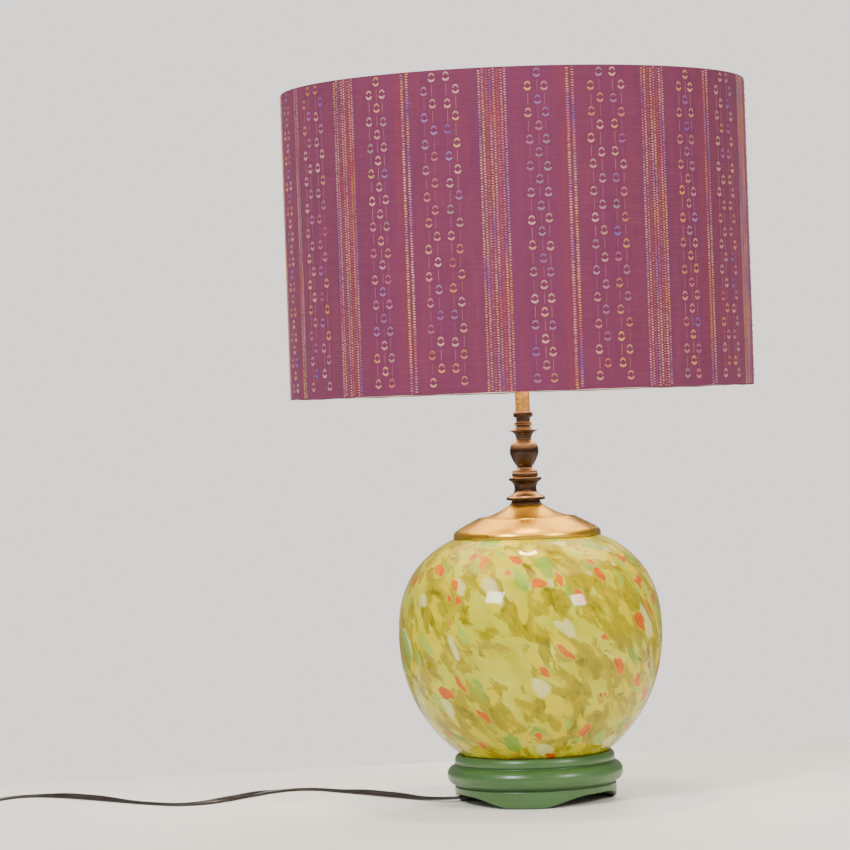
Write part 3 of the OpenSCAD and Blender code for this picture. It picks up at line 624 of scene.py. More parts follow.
cream = art_glass.ramp(art_glass.noise(swirled, 30, 4, 0.6), (0.30, (0.38, 0.36, 0.0)),
                       (0.55, (0.48, 0.47, 0.02)), (0.75, (0.58, 0.57, 0.07)))
mottle = art_glass.noise(wobbled, 75, 4, 0.65)
mustard = art_glass.ramp(mottle, (0.30, (0.15, 0.125, 0.0)), (0.50, (0.32, 0.27, 0.0)),
                         (0.72, (0.54, 0.45, 0.0)))
clump = art_glass.node("MapRange", {"interpolation_type": "SMOOTHSTEP"},
                       n0=art_glass.noise(wobbled, 52, 3, 0.6), n1=0.455, n2=0.485, n3=0.0, n4=1.0).outputs[0]
glass_colour = art_glass.mix(clump, cream, mustard)
for scale, size, chosen, shift, colour, strength in (
        (52, 0.42, 0.50, (0.3, 0, 0), (0.58, 0.48, 0.0), 0.9),
        (74, 0.40, 0.45, (0, 0.7, 0), (0.26, 0.22, 0.0), 0.75),
        (44, 0.34, 0.34, (0, 0, 0.9), (0.62, 0.62, 0.24), 0.75),
        (40, 0.36, 0.36, (1.7, 0, 0), (0.16, 0.31, 0.03), 0.85),
        (58, 0.34, 0.25, (0, 2.1, 0), (0.26, 0.42, 0.04), 0.75)):
    where = chips(scale, size, chosen, 0.06, shift)
    glass_colour = art_glass.mix(art_glass.math("MULTIPLY", where, strength), glass_colour, (*colour, 1))
orange_chip = chips(50, 0.27, 0.55, 0.035, (3.3, 1.1, 0))
halo = chips(50, 0.33, 0.55, 0.05, (3.3, 1.1, 0))
glass_colour = art_glass.mix(art_glass.math("MULTIPLY", halo, 0.4), glass_colour, (0.60, 0.50, 0.05, 1))
orange = art_glass.ramp(mottle, (0.35, (0.44, 0.080, 0.0)), (0.65, (0.62, 0.16, 0.0)))
glass_colour = art_glass.mix(orange_chip, glass_colour, orange)
# The clear casing shows at a glancing angle, as a pale grey-green rim.
glance = art_glass.node("LayerWeight", Blend=0.22).outputs["Facing"]
rim_share = art_glass.ramp(glance, (0.74, (0.0,)), (0.99, (0.5,)))
glass_colour = art_glass.mix(rim_share, glass_colour, (0.44, 0.50, 0.12, 1))
art_glass.wire(Base_Color=glass_colour,
               Normal=art_glass.bump(art_glass.noise(art_glass.place(), 16, 2), 0.0010, 0.25))
finish_piece(globe, "root", "art_glass", art_glass, "glass_globe")


# ---- Globe cap ----
# A bell of thin brass, spun on a lathe over a former, brushed and given a warm antique finish. It sits on a
# gasket on the globe, and its rolled rim hides the joint.
cap_z = float(globe_over(seat_r))
neck_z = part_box("globe_cap")[1][2]
cap_h = neck_z - cap_z
cap_top_r = 14.5 * mm


def cap_outline(thick=1 * mm):
    """Rim, shoulder, step and bell, from the rim up; then back down inside, a thickness away.
    Nowhere is it lower than the air gap over the glass."""
    line = np.vstack([
        bend((seat_r - 0.3 * mm, 0), (seat_r + 0.6 * mm, cap_h * 0.14), (seat_r - 2 * mm, cap_h * 0.23), 8),
        bend((seat_r - 5.6 * mm, cap_h * 0.31), (seat_r * 0.8, cap_h * 0.46),
             (seat_r * 0.67, cap_h * 0.6), 12),
        [(seat_r * 0.665, cap_h * 0.62), (seat_r * 0.57, cap_h * 0.64)],
        bend((seat_r * 0.56, cap_h * 0.65), (seat_r * 0.38, cap_h * 0.75), (cap_top_r, cap_h), 16)])
    line[:, 1] += cap_z
    over_glass = 0.3 * mm
    outside = np.stack([line[:, 0], np.maximum(line[:, 1], globe_over(line[:, 0]) + over_glass)], 1)
    inner_r = line[:, 0] - thick
    inside = np.stack([inner_r, np.maximum(line[:, 1] - thick, globe_over(inner_r) + over_glass)], 1)
    return np.vstack([outside, [(rod_hole_r, neck_z), (rod_hole_r, neck_z - thick)], inside[::-1]])


spun_brass = metal("spun_antique_brass", (0.54, 0.29, 0.022), (0.82, 0.50, 0.055), 0.28, (1, 1, 60), 14,
                   0.00003)
cap = turned("spun_cap", softened(cap_outline(), 0.5 * mm, 2), 192)
# Painted shade: ambient occlusion darkens the brass towards the rim and the joints, where shade falls.
painted_rim_shade = spun_brass.node("AmbientOcclusion", {"samples": 6}, Distance=0.004).outputs["AO"]
brass_colour = spun_brass.shader.inputs["Base Color"].links[0].from_socket
painted_shade_share = spun_brass.ramp(painted_rim_shade, (0.3, (0.95,)), (0.9, (0.0,)))
spun_brass.wire(Base_Color=spun_brass.mix(painted_shade_share, brass_colour, (0.10, 0.055, 0.012, 1)))
finish_piece(cap, "root", "antique_brass", spun_brass, "globe_cap")


# ---- Turned neck ----
# A stack of turned brass rings threaded on the rod, patinated dark bronze and rubbed back on their edges:
# foot with a deep cove, bead, vase, flare, check disc and cup.
tube_z = neck_z + 81.6 * mm
neck_h = tube_z - neck_z
neck_r = 17.1 * mm
stem_r = 6.6 * mm
tube_r = 6.4 * mm
foot_h, bead_h, vase_h, flare_h, disc_h = (share * neck_h for share in (0.292, 0.059, 0.361, 0.116, 0.066))
cup_h = neck_h - foot_h - bead_h - vase_h - flare_h - disc_h
belly = neck_r * 0.743
flare_r = neck_r * 0.72
disc_r = stem_r + 1.7 * mm
cup_lip = tube_r + 2.2 * mm
bead_r = neck_r * 0.68
neck_lines = {
    "neck_foot": (foot_h, [
        bend((cap_top_r, 0), (cap_top_r - 1.8 * mm, foot_h * 0.08), (cap_top_r - 2 * mm, foot_h * 0.15), 6),
        bend((neck_r - 0.6 * mm, foot_h * 0.17), (neck_r + 0.4 * mm, foot_h * 0.22),
             (neck_r - 0.3 * mm, foot_h * 0.27), 8),
        bend((neck_r - 1.2 * mm, foot_h * 0.31), (neck_r * 0.6, foot_h * 0.36),
             (neck_r * 0.567, foot_h * 0.56), 16),
        bend((neck_r * 0.567, foot_h * 0.62), (neck_r * 0.58, foot_h * 0.82),
             (neck_r * 0.83, foot_h * 0.9), 12),
        bend((neck_r * 0.84, foot_h * 0.92), (neck_r * 0.86, foot_h * 0.96), (neck_r * 0.82, foot_h), 6)]),
    "neck_bead": (bead_h, [bend((bead_r - 1.2 * mm, 0), (bead_r + 1.2 * mm, bead_h / 2),
                                (bead_r - 1.2 * mm, bead_h), 12)]),
    "neck_vase": (vase_h, [
        [(belly - 1.7 * mm, 0), (belly - 1.5 * mm, vase_h * 0.03)],
        bend((belly - 2.2 * mm, vase_h * 0.05), (stem_r, vase_h * 0.07), (stem_r, vase_h * 0.16), 12),
        bend((stem_r, vase_h * 0.17), (belly - 3.2 * mm, vase_h * 0.25),
             (belly - 0.2 * mm, vase_h * 0.54), 16),
        bend((belly, vase_h * 0.6), (belly + 0.1 * mm, vase_h * 0.79), (belly - 3 * mm, vase_h * 0.89), 14),
        [(stem_r + 0.2 * mm, vase_h * 0.94), (stem_r + 0.2 * mm, vase_h)]]),
    "neck_flare": (flare_h, [
        bend((stem_r + 0.2 * mm, 0), (stem_r + 0.5 * mm, flare_h * 0.55), (flare_r, flare_h * 0.72), 14),
        [(flare_r, flare_h * 0.8), (stem_r + 1.6 * mm, flare_h * 0.9), (stem_r + 1.4 * mm, flare_h)]]),
    "neck_disc": (disc_h, [
        [(stem_r, 0), (stem_r - 0.6 * mm, disc_h * 0.25)],
        bend((disc_r - 0.8 * mm, disc_h * 0.35), (disc_r + 0.8 * mm, disc_h * 0.45),
             (disc_r - 0.8 * mm, disc_h * 0.58), 8),
        bend((disc_r - 1 * mm, disc_h * 0.66), (disc_r + 0.6 * mm, disc_h * 0.78),
             (disc_r - 1 * mm, disc_h * 0.9), 8),
        [(stem_r - 0.4 * mm, disc_h)]]),
    "neck_cup": (cup_h, [
        [(stem_r - 0.4 * mm, 0), (stem_r - 0.4 * mm, cup_h * 0.34)],
        bend((stem_r, cup_h * 0.42), (cup_lip + 0.3 * mm, cup_h * 0.44), (cup_lip, cup_h * 0.6), 10),
        bend((cup_lip, cup_h * 0.75), (cup_lip, cup_h), (tube_r + 0.8 * mm, cup_h), 8),
        [(tube_r, cup_h), (tube_r, cup_h * 0.5), (rod_hole_r, cup_h * 0.5)]])}

bronze = Paint("rubbed_bronze_with_painted_top_light", Metallic=0.92, Coat_Weight=0.25, Coat_Roughness=0.25)
patina = bronze.noise(bronze.place(), 60, 3, 0.5)
surface = bronze.node("NewGeometry").outputs
worn = surface["Pointiness"]
# Painted light: the upward faces are painted lighter, in warm brass, as if lit from above by the bulb; the
# undersides keep the dark patina.
upward = bronze.node("SeparateXYZ", Vector=surface["Normal"]).outputs["Z"]
painted_top_light = bronze.ramp(upward, (0.30, (0.0,)), (0.80, (0.8,)))
dark_bronze = bronze.ramp(patina, (0.3, (0.026, 0.012, 0.006)), (0.7, (0.060, 0.030, 0.015)))
edges = bronze.ramp(bronze.math("ADD", worn, bronze.math("MULTIPLY", patina, 0.05)), (0.54, (0.0,)),
                    (0.62, (0.6,)))
dark_bronze = bronze.mix(painted_top_light, dark_bronze, (0.56, 0.32, 0.16, 1))
bronze.wire(Base_Color=bronze.mix(edges, dark_bronze, (0.42, 0.24, 0.12, 1)),
            Roughness=bronze.ramp(patina, (0.3, (0.28,)), (0.7, (0.34,))))
stack_z = neck_z
for node, (piece_h, stretches) in neck_lines.items():
    outline = np.vstack([[(rod_hole_r, 0)]] + [np.asarray(s) for s in stretches]
                        + ([] if node == "neck_cup" else [[(rod_hole_r, piece_h)]]))
    outline[:, 1] += stack_z
    ring = turned("turned_" + node, softened(outline, 0.25 * mm, 2), 96)
    finish_piece(ring, "root", "dark_bronze", bronze, node)
    stack_z += piece_h

bright_brass = metal("bright_brass", (0.62, 0.31, 0.08), (0.82, 0.44, 0.13), 0.24, (1, 1, 9), 26)
bright_brass.on(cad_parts["neck_tube"])


# ---- Harp ----
# A bow of stiff brass wire drops its legs into the saddle under the socket. A sleeve on each leg slides down
# over the joint to lock it; a stud on the bow carries the shade, and a turned finial screws down on it.
bow_lo, bow_hi = (np.array(p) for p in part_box("harp_bow"))
wire_d = bow_hi[1] - bow_lo[1]
leg_x = 27 * mm
harp_r = 50 * mm
sleeve_lift, over_sleeve = 12 * mm, 3 * mm
leg_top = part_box("sleeve_left")[1][2] + sleeve_lift + over_sleeve
joint_z = bow_lo[2]
bow_top = bow_hi[2] - wire_d / 2
bow_rise = bow_top - leg_top
flank_r = ((bow_rise - harp_r) ** 2 + leg_x ** 2 - harp_r ** 2) / (2 * (harp_r - leg_x))
lean = math.asin((bow_rise - harp_r) / (flank_r + harp_r))


def round_outline(rows, radius, corners=20):
    """The same circle for every row of a carried outline."""
    t = np.arange(corners) / corners * 2 * math.pi
    return np.broadcast_to(radius * np.stack([np.cos(t), np.sin(t)], 1), (rows, corners, 2))


def bow_line():
    """Upright leg, flank on a wide circle, and a round top: one half, then its mirror image."""
    a = np.linspace(0, lean, 14)
    b = np.linspace(-lean, math.pi / 2, 30)[1:]
    x = np.concatenate([np.full(4, leg_x), leg_x + flank_r * (1 - np.cos(a)), harp_r * np.cos(b)])
    z = np.concatenate([np.linspace(joint_z, leg_top - 4 * mm, 4), leg_top + flank_r * np.sin(a),
                        bow_top - harp_r + harp_r * np.sin(b)])
    half = np.stack([x, np.zeros(len(x)), z], 1)
    return np.vstack([half, half[-2::-1] * (-1, 1, 1)])


harp_line = bow_line()
harp = outward(carried("harp_wire", harp_line, round_outline(len(harp_line), wire_d / 2), (0, 1, 0)))
harp_metal = metal("lacquered_harp_brass", (0.55, 0.43, 0.25), (0.78, 0.65, 0.42), 0.26, (1, 1, 6), 60)
finish_piece(harp, "root", "harp_brass", harp_metal, "harp_bow")
harp_metal.on(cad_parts["harp_saddle"])
plain_brass.on(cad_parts["harp_stud"])
zinc_steel.on(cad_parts["sleeve_left"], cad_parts["sleeve_right"])

finial_lo, finial_hi = (np.array(p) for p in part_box("finial"))
finial_h = finial_hi[2] - finial_lo[2]
stud_r = 3.15 * mm


def finial_outline():
    """Knob, waist and foot from the tip down, then the blind threaded hole from the foot up."""
    up = np.vstack([[(0, finial_h), (1.4 * mm, finial_h - 0.3 * mm)],
                    bend((3 * mm, finial_h - 2 * mm), (5.4 * mm, finial_h - 5 * mm),
                         (3.2 * mm, finial_h - 8.2 * mm), 14),
                    bend((4 * mm, 10.8 * mm), (8.4 * mm, 9.4 * mm), (7 * mm, 6.4 * mm), 12),
                    bend((5 * mm, 5 * mm), (5 * mm, 3 * mm), (7.6 * mm, 2.4 * mm), 10),
                    [(7.6 * mm, 0), (stud_r, 0), (stud_r, 14 * mm), (0, 14 * mm)]])
    return np.stack([up[:, 0], up[:, 1] + finial_lo[2]], 1)


finial = turned("turned_finial", finial_outline(), 96)
finial_brass = metal("turned_finial_brass", (0.58, 0.43, 0.19), (0.80, 0.62, 0.32), 0.20, (1, 1, 14))
finish_piece(finial, "finial", "bright_brass", finial_brass, "finial")


# ---- Socket ----
# A medium screw socket: brass cap and shell pressed from sheet, a fibre-paper sleeve, a black phenolic body
# with the screw shell, and a flat turn knob for the switch.
socket_brass = metal("pressed_socket_brass", (0.60, 0.46, 0.22), (0.83, 0.68, 0.38), 0.24)
rib_pitch = 2.4 * mm
ribs = socket_brass.math("SINE", socket_brass.math("MULTIPLY", socket_brass.height(),
                                                   2 * math.pi / rib_pitch))
shell_lo, shell_hi = (p[2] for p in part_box("socket_shell"))
ribbed_from = shell_lo + 0.7 * (shell_hi - shell_lo)
in_ribs = socket_brass.node("MapRange", n0=socket_brass.height(), n1=ribbed_from, n2=ribbed_from + 1 * mm,
                            n3=0.0, n4=1.0).outputs[0]
socket_brass.wire(Normal=socket_brass.bump(socket_brass.math("MULTIPLY", ribs, in_ribs), 0.0004, 0.7))
socket_brass.on(*(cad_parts[n] for n in ("socket_cap", "socket_shell", "socket_screw")))
fibre_paper = Paint("fibre_paper", Roughness=0.85)
pulp = fibre_paper.noise(fibre_paper.place((1, 1, 5)), 420, 4)
fibre_paper.wire(Base_Color=fibre_paper.ramp(pulp, (0.3, (0.20, 0.125, 0.065)), (0.7, (0.33, 0.22, 0.12))),
                 Normal=fibre_paper.bump(pulp, 0.0002, 0.5))
fibre_paper.on(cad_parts["socket_sleeve"])
phenolic = plastic("black_phenolic", (0.010, 0.009, 0.009), (0.028, 0.025, 0.024), 0.3)
phenolic.on(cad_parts["socket_body"])

knob_lo, knob_hi = (np.array(p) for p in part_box("switch_knob"))
knob_z = (knob_lo[2] + knob_hi[2]) / 2


def knob_sections(rows=90):
    """Sections square to the knob's axis, from the tip of its paddle to the end of its shaft: a flat
    superellipse with a rounded tip, then the round collar, then the slim shaft."""
    reach = np.linspace(0, 1, rows) * (knob_hi[1] - knob_lo[1])
    tip = np.sqrt(np.clip(1 - (1 - np.clip(reach / (3 * mm), 0.02, 1)) ** 2, 0, 1))
    collar = np.clip((reach - 9.5 * mm) / (2.5 * mm), 0, 1)
    collar = collar * collar * (3 - 2 * collar)
    shaft = reach > 14.5 * mm
    half_x = np.where(shaft, 2 * mm, 1.6 * mm * (1 - collar) * (0.6 + 0.4 * tip) + 3.6 * mm * collar)
    half_z = np.where(shaft, 2 * mm, 6 * mm * (1 - collar) * (0.75 + 0.25 * tip) + 3.6 * mm * collar)
    t = np.arange(40) / 40 * 2 * math.pi
    power = np.where(shaft, 1, 0.45 + 0.55 * collar)[:, None]
    x = np.sign(np.cos(t)) * np.abs(np.cos(t)) ** power * half_x[:, None]
    z = np.sign(np.sin(t)) * np.abs(np.sin(t)) ** power * half_z[:, None]
    line = np.stack([np.zeros(rows), knob_lo[1] + reach, np.full(rows, knob_z)], 1)
    return line, np.stack([x, z], 2)


knob_line, knob_outline = knob_sections()
knob = outward(carried("turn_knob", knob_line, knob_outline))
finish_piece(knob, "knob", "black_plastic", phenolic, "switch_knob")


# ---- Bulb ----
# A pear-shaped bulb of blown glass, frosted inside and lit. Its brass base is rolled into a coarse
# thread, and screws down into the socket.
base_of_bulb_lo, base_of_bulb_hi = (np.array(p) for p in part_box("bulb_base"))
bulb_lo, bulb_hi = (np.array(p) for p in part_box("bulb_glass"))
screw_pitch = 3.6 * mm
screw_depth = 0.55 * mm


def screw_base(columns=96):
    """Contact, black insulator and screw shell from the bottom up. On the shell the radius falls by a
    cosine of the height less a turn's share of the pitch, so the groove climbs as a helix."""
    z0, h = base_of_bulb_lo[2], base_of_bulb_hi[2] - base_of_bulb_lo[2]
    r0 = base_of_bulb_hi[0]
    turn = np.arange(columns) / columns * 2 * math.pi
    z = np.concatenate([[0, 0], np.linspace(0.0, 5, 9)[1:] * mm, np.linspace(5.2 * mm, h, 90), [h]])
    r = np.interp(z, np.array([0, 3, 5, 5.2, 24]) * mm, np.array([4, 9, 12.6, 13, 13]) * mm / (13 * mm) * r0)
    r[0] = r[-1] = 0
    grooved = np.clip((z - 6 * mm) / (2 * mm), 0, 1) * np.clip((h - 3 * mm - z) / (2 * mm), 0, 1)
    wave = 0.5 - 0.5 * np.cos(2 * math.pi * z[:, None] / screw_pitch - turn)
    radius = r[:, None] - screw_depth * grooved[:, None] * wave
    points = np.stack([radius * np.cos(turn), radius * np.sin(turn),
                       np.broadcast_to(z0 + z[:, None], radius.shape)], 2)
    return outward(new_mesh("bulb_screw_base", points, grid_faces(len(z), columns)))


bulb_metal = metal("nickel_plated_shell", (0.50, 0.49, 0.46), (0.74, 0.73, 0.70), 0.25)
low_down = bulb_metal.node("MapRange", n0=bulb_metal.height(),
                           n1=base_of_bulb_lo[2] + 4.6 * mm, n2=base_of_bulb_lo[2] + 5 * mm,
                           n3=0.0, n4=1.0).outputs[0]
nickel = bulb_metal.shader.inputs["Base Color"].links[0].from_socket
bulb_metal.wire(Base_Color=bulb_metal.mix(low_down, (0.012, 0.011, 0.010, 1), nickel), Metallic=low_down)
finish_piece(screw_base(), "bulb", "bulb_metal", bulb_metal, "bulb_base")


def bulb_outline():
    """Neck and round head outside, then the same inside, a glass thickness smaller."""
    neck_r, neck_h, thick = 12.8 * mm, 34 * mm, 0.9 * mm
    head_r = bulb_hi[0]
    a = np.radians(np.linspace(-30, 90, 40))
    flank = bend((neck_r, 0), (neck_r + 0.4 * mm, neck_h * 0.45), (head_r * 0.82, neck_h * 0.93), 16)
    middle = neck_h + head_r / 2
    head = np.stack([head_r * np.cos(a), middle + head_r * np.sin(a)], 1)
    head_in = np.stack([(head_r - thick) * np.cos(a), middle + (head_r - thick) * np.sin(a)], 1)
    outline = np.vstack([flank, head, head_in[::-1], (flank - (thick, 0))[::-1]])
    return np.stack([np.maximum(outline[:, 0], 0), outline[:, 1] + bulb_lo[2]], 1)


bulb = turned("frosted_bulb", bulb_outline(), 96)
frosted = Paint("lit_frosted_glass", Roughness=0.5, Emission_Strength=170.0)
glow = frosted.ramp(frosted.noise(frosted.place(), 40, 2), (0.3, (1.0, 0.66, 0.36)), (0.7, (1.0, 0.72, 0.44)))
frosted.wire(Base_Color=frosted.ramp(frosted.noise(frosted.place(), 300, 3), (0.3, (0.82, 0.80, 0.76)),
                                     (0.7, (0.90, 0.88, 0.84))), Emission_Color=glow)
finish_piece(bulb, "bulb", "bulb_glass", frosted, "bulb_glass")


# ---- Shade frame and liner ----
# White-painted wire rings hold the drum round at its top and bottom. The top ring has a three-armed
# spider, and a stiff white styrene liner is laminated behind the fabric.
shade_lo, shade_hi = (np.array(p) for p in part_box("shade_fabric"))
shade_r = shade_hi[0]
shade_z, shade_top = shade_lo[2], shade_hi[2]
shade_h = shade_top - shade_z
fabric_t = 0.8 * mm
liner_t = 1.2 * mm

white_wire = plastic("white_wire_paint", (0.62, 0.60, 0.56), (0.74, 0.72, 0.68), 0.35)
white_wire.on(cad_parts["shade_spider"])
for node in ("top_ring", "bottom_ring"):
    ring_lo, ring_hi = (np.array(p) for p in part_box(node))
    ring_wire_r = (ring_hi[2] - ring_lo[2]) / 2
    t = np.arange(20) / 20 * 2 * math.pi
    wire = turned("wire_" + node, np.stack([ring_hi[0] - ring_wire_r + ring_wire_r * np.cos(t),
                                            (ring_lo[2] + ring_hi[2]) / 2 + ring_wire_r * np.sin(t)], 1), 240)
    finish_piece(wire, "shade", "white_wire", white_wire, node)

liner_lo, liner_hi = (np.array(p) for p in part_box("shade_liner"))
liner_r = shade_r - fabric_t - 0.02 * mm
liner_inset = 1 * mm
up = np.linspace(liner_lo[2] + liner_inset, liner_hi[2] - liner_inset, 12)
liner = turned("styrene_liner", np.vstack([np.stack([np.full(12, liner_r), up], 1),
                                           np.stack([np.full(12, liner_r - liner_t), up[::-1]], 1)]), 300)
styrene = Paint("white_styrene", Roughness=0.45)
styrene.wire(Base_Color=styrene.ramp(styrene.noise(styrene.place(), 60, 4), (0.3, (0.78, 0.755, 0.70)),
                                     (0.7, (0.84, 0.82, 0.77))),
             Normal=styrene.bump(styrene.noise(styrene.place(), 500, 3), 0.0001, 0.4))
finish_piece(liner, "shade", "white_liner", styrene, "shade_liner")


# ---- Shade fabric ----
# A plum handwoven cotton with slubs, stretched round the drum, turned over both edges and lapped in one
# upright seam at the back. Reddish and violet warp threads run beside the embroidered stripes.
round_it = 2 * math.pi * shade_r
pattern_repeat = 140.1 * mm
front_stripe = math.radians(-94.6)
seam_turn = front_stripe + math.pi
lap = 12 * mm
fabric_columns = 720


def fabric_surface():
    """A drum with thickness: each row of the closed upright outline is a circle. The outside waves by a
    fraction of a millimetre, and stands a thickness prouder where the seam laps."""
    rng = np.random.default_rng(4)
    edge = fabric_t / 2
    a = np.radians(np.linspace(0, 180, 7))
    rise = np.linspace(shade_z + edge, shade_top - edge, 46)
    top = np.stack([shade_r - edge + edge * np.cos(a), shade_top - edge + edge * np.sin(a)], 1)[1:-1]
    bottom = np.stack([shade_r - edge + edge * np.cos(a[::-1]),
                       shade_z + edge - edge * np.sin(a[::-1])], 1)[1:-1]
    inside = np.stack([np.full(46, shade_r - fabric_t), rise[::-1]], 1)
    outline = np.vstack([np.stack([np.full(46, shade_r), rise], 1), top, inside, bottom])
    u = np.arange(fabric_columns) / fabric_columns
    turn = seam_turn + u * 2 * math.pi
    waves = sum(rng.normal(0, 0.09) * np.cos(2 * math.pi * (k * u[None, :] + n * outline[:, 1:] / shade_h)
                                              + rng.uniform(0, 2 * math.pi))
                for k in (3, 5, 8, 13, 21) for n in (0, 1, 2))
    outer = (outline[:, 0] > shade_r - edge)[:, None]
    lapped = np.clip((lap / round_it - u) / 0.0014, 0, 1) * np.clip(u / 0.0014, 0, 1)
    r = outline[:, :1] + np.where(outer, 0.10 * mm * waves + 0.5 * mm * lapped[None, :], 0)
    droop = 0.25 * mm * sum(rng.normal(0, 0.5) * np.cos(2 * math.pi * k * u + rng.uniform(0, 6))
                            for k in (7, 12, 19, 31))
    z = outline[:, 1:] + droop[None, :] * np.clip(1 - (outline[:, 1:] - shade_z) / (10 * mm), 0, 1)
    points = np.stack([r * np.cos(turn), r * np.sin(turn), z], 2)
    fabric = new_mesh("woven_fabric", points, grid_faces(len(outline), fabric_columns, round_rows=True))
    around = np.linspace(0, round_it, fabric_columns + 1)
    steps = np.diff(np.vstack([outline, outline[:1]]), axis=0)
    far = np.concatenate([[0], np.cumsum(np.linalg.norm(steps, axis=1))])
    rows, columns = np.meshgrid(np.arange(len(outline)), np.arange(fabric_columns), indexing="ij")
    corners = np.stack([np.stack([around[columns + e], far[rows + s]], 2)
                        for e, s in ((0, 0), (1, 0), (1, 1), (0, 1))], 2)
    fabric.data.uv_layers.new(name="surface").data.foreach_set("uv", corners.astype(np.float32).ravel())
    return fabric


fabric = fabric_surface()
weave = Paint("plum_handwoven_cotton", Roughness=0.82, Sheen_Weight=0.08, Sheen_Roughness=0.4,
              Sheen_Tint=(0.9, 0.45, 0.65, 1))
cloth_place = weave.place(uv=True)
axes = weave.node("SeparateXYZ", Vector=cloth_place)
across_stripes, up_stripes = axes.outputs["X"], axes.outputs["Y"]
thread = 0.62 * mm
warp = weave.math("SINE", weave.math("MULTIPLY", across_stripes, 2 * math.pi / thread))
weft = weave.math("SINE", weave.math("MULTIPLY", up_stripes, 2 * math.pi / (thread * 1.1)))
slub = weave.noise(weave.place((26, 700, 1), uv=True), 1, 4, 0.6)
warp_slub = weave.noise(weave.place((900, 22, 1), uv=True), 1, 3, 0.6)
patch = weave.noise(weave.place((70, 14, 1), uv=True), 1, 4, 0.55)
plum = weave.ramp(patch, (0.30, (0.120, 0.014, 0.050)), (0.50, (0.150, 0.018, 0.055)),
                  (0.72, (0.178, 0.023, 0.054)))
plum = weave.mix(weave.ramp(slub, (0.40, (0.0,)), (0.72, (0.35,))), plum, (0.25, 0.047, 0.10, 1))
plum = weave.mix(weave.ramp(warp_slub, (0.42, (0.0,)), (0.70, (0.30,))), plum, (0.072, 0.008, 0.040, 1))
# Where a point is in the repeat, from 0 at half a repeat before the triple stripe.
seam_to_front = round_it / 2
in_repeat = weave.math("WRAP", weave.math("DIVIDE", weave.math("SUBTRACT", across_stripes, seam_to_front),
                                          pattern_repeat), 0.5, -0.5)


def tinted_band(cloth, centre, half_w, colour, share):
    """Warp threads of another colour in a band centre from the triple stripe, soft at its sides."""
    near = weave.math("ABSOLUTE", weave.math("SUBTRACT", in_repeat, centre / pattern_repeat))
    inside = weave.node("MapRange", {"interpolation_type": "SMOOTHSTEP"}, n0=near,
                        n1=half_w * 1.5 / pattern_repeat,
                        n2=half_w * 0.6 / pattern_repeat, n3=0.0, n4=share).outputs[0]
    return weave.mix(inside, cloth, (*colour, 1))


for centre, half_w, colour, share in (
        (4.6 * mm, 2.0 * mm, (0.22, 0.016, 0.034), 0.6), (-4.6 * mm, 1.8 * mm, (0.18, 0.018, 0.044), 0.45),
        (14.2 * mm, 2.4 * mm, (0.12, 0.016, 0.085), 0.5), (-14.2 * mm, 2.4 * mm, (0.12, 0.016, 0.078), 0.4),
        (37 * mm, 15 * mm, (0.140, 0.014, 0.074), 0.5), (58 * mm, 2.8 * mm, (0.20, 0.019, 0.048), 0.35),
        (96 * mm - pattern_repeat, 19 * mm, (0.135, 0.014, 0.070), 0.45),
        (70 * mm, 2.4 * mm, (0.12, 0.016, 0.080), 0.35),
        (70 * mm - pattern_repeat, 2.4 * mm, (0.12, 0.016, 0.080), 0.35)):
    plum = tinted_band(plum, centre, half_w, colour, share)
woven = weave.math("MULTIPLY", warp, weft)
weave.wire(Base_Color=plum,
           Normal=weave.bump(slub, 0.0005, 0.5, weave.bump(woven, 0.00018, 0.55)))
finish_piece(fabric, "shade", "striped_fabric", weave, "shade_fabric")


# ---- Embroidery ----
# Space-dyed pearl cotton, worked over the weave: ladders of short dashes in pairs of columns, and columns of
# little rings, each of an upper and a lower loop, joined by a thin upright thread.
thread_rng = np.random.default_rng(11)
dyes = np.array([[0.68, 0.32, 0.22], [0.66, 0.26, 0.020], [0.70, 0.36, 0.06], [0.56, 0.06, 0.030],
                 [0.58, 0.13, 0.14], [0.27, 0.12, 0.38], [0.09, 0.055, 0.38], [0.25, 0.22, 0.20],
                 [0.66, 0.34, 0.30], [0.48, 0.17, 0.25]])
dye_share = np.array([0.19, 0.14, 0.12, 0.07, 0.10, 0.09, 0.05, 0.07, 0.11, 0.06])
dye_share /= dye_share.sum()


def dyed(height):
    """Colour along one thread: dyes drawn at random every 24 mm or so and blended between the draws."""
    knots = np.cumsum(thread_rng.uniform(14, 34, 24)) * mm - 40 * mm
    drawn = dyes[thread_rng.choice(len(dyes), 24, p=dye_share)]
    return np.stack([np.interp(height, knots, drawn[:, k]) for k in range(3)], 1)


def sunk(colour, share):
    """A thread's colour where the weave hides a share of it."""
    return colour + (np.array([0.16, 0.022, 0.062]) - colour) * np.asarray(share)[..., None]


def on_drum(across, height, proud):
    """Points of the drum's outside: arc metres from the front triple stripe, height, and how proud."""
    turn = front_stripe + across / shade_r
    r = shade_r + proud
    return np.stack([r * np.cos(turn), r * np.sin(turn), height], -1)


def stitched(name, across, height, colour, shape):
    """Copies of one stitch laid at many places of the drum: shape is its points (sideways, upward, proud)
    and its faces, and every copy's points take that copy's colour."""
    points, faces = shape
    a = across[:, None] + points[None, :, 0]
    h = height[:, None] + points[None, :, 1]
    placed = on_drum(a, h, np.broadcast_to(points[None, :, 2], a.shape)).reshape(-1, 3)
    count = len(points)
    copies = np.arange(len(across)) * count
    faces = [[v + start for v in face] for start in copies.tolist() for face in faces]
    piece = new_mesh(name, placed, faces)
    shade = piece.data.color_attributes.new(name="thread", type="FLOAT_COLOR", domain="POINT")
    rgba = np.ones((len(across), count, 4), dtype=np.float32)
    rgba[:, :, :3] = colour[:, None, :]
    shade.data.foreach_set("color", rgba.ravel())
    return piece


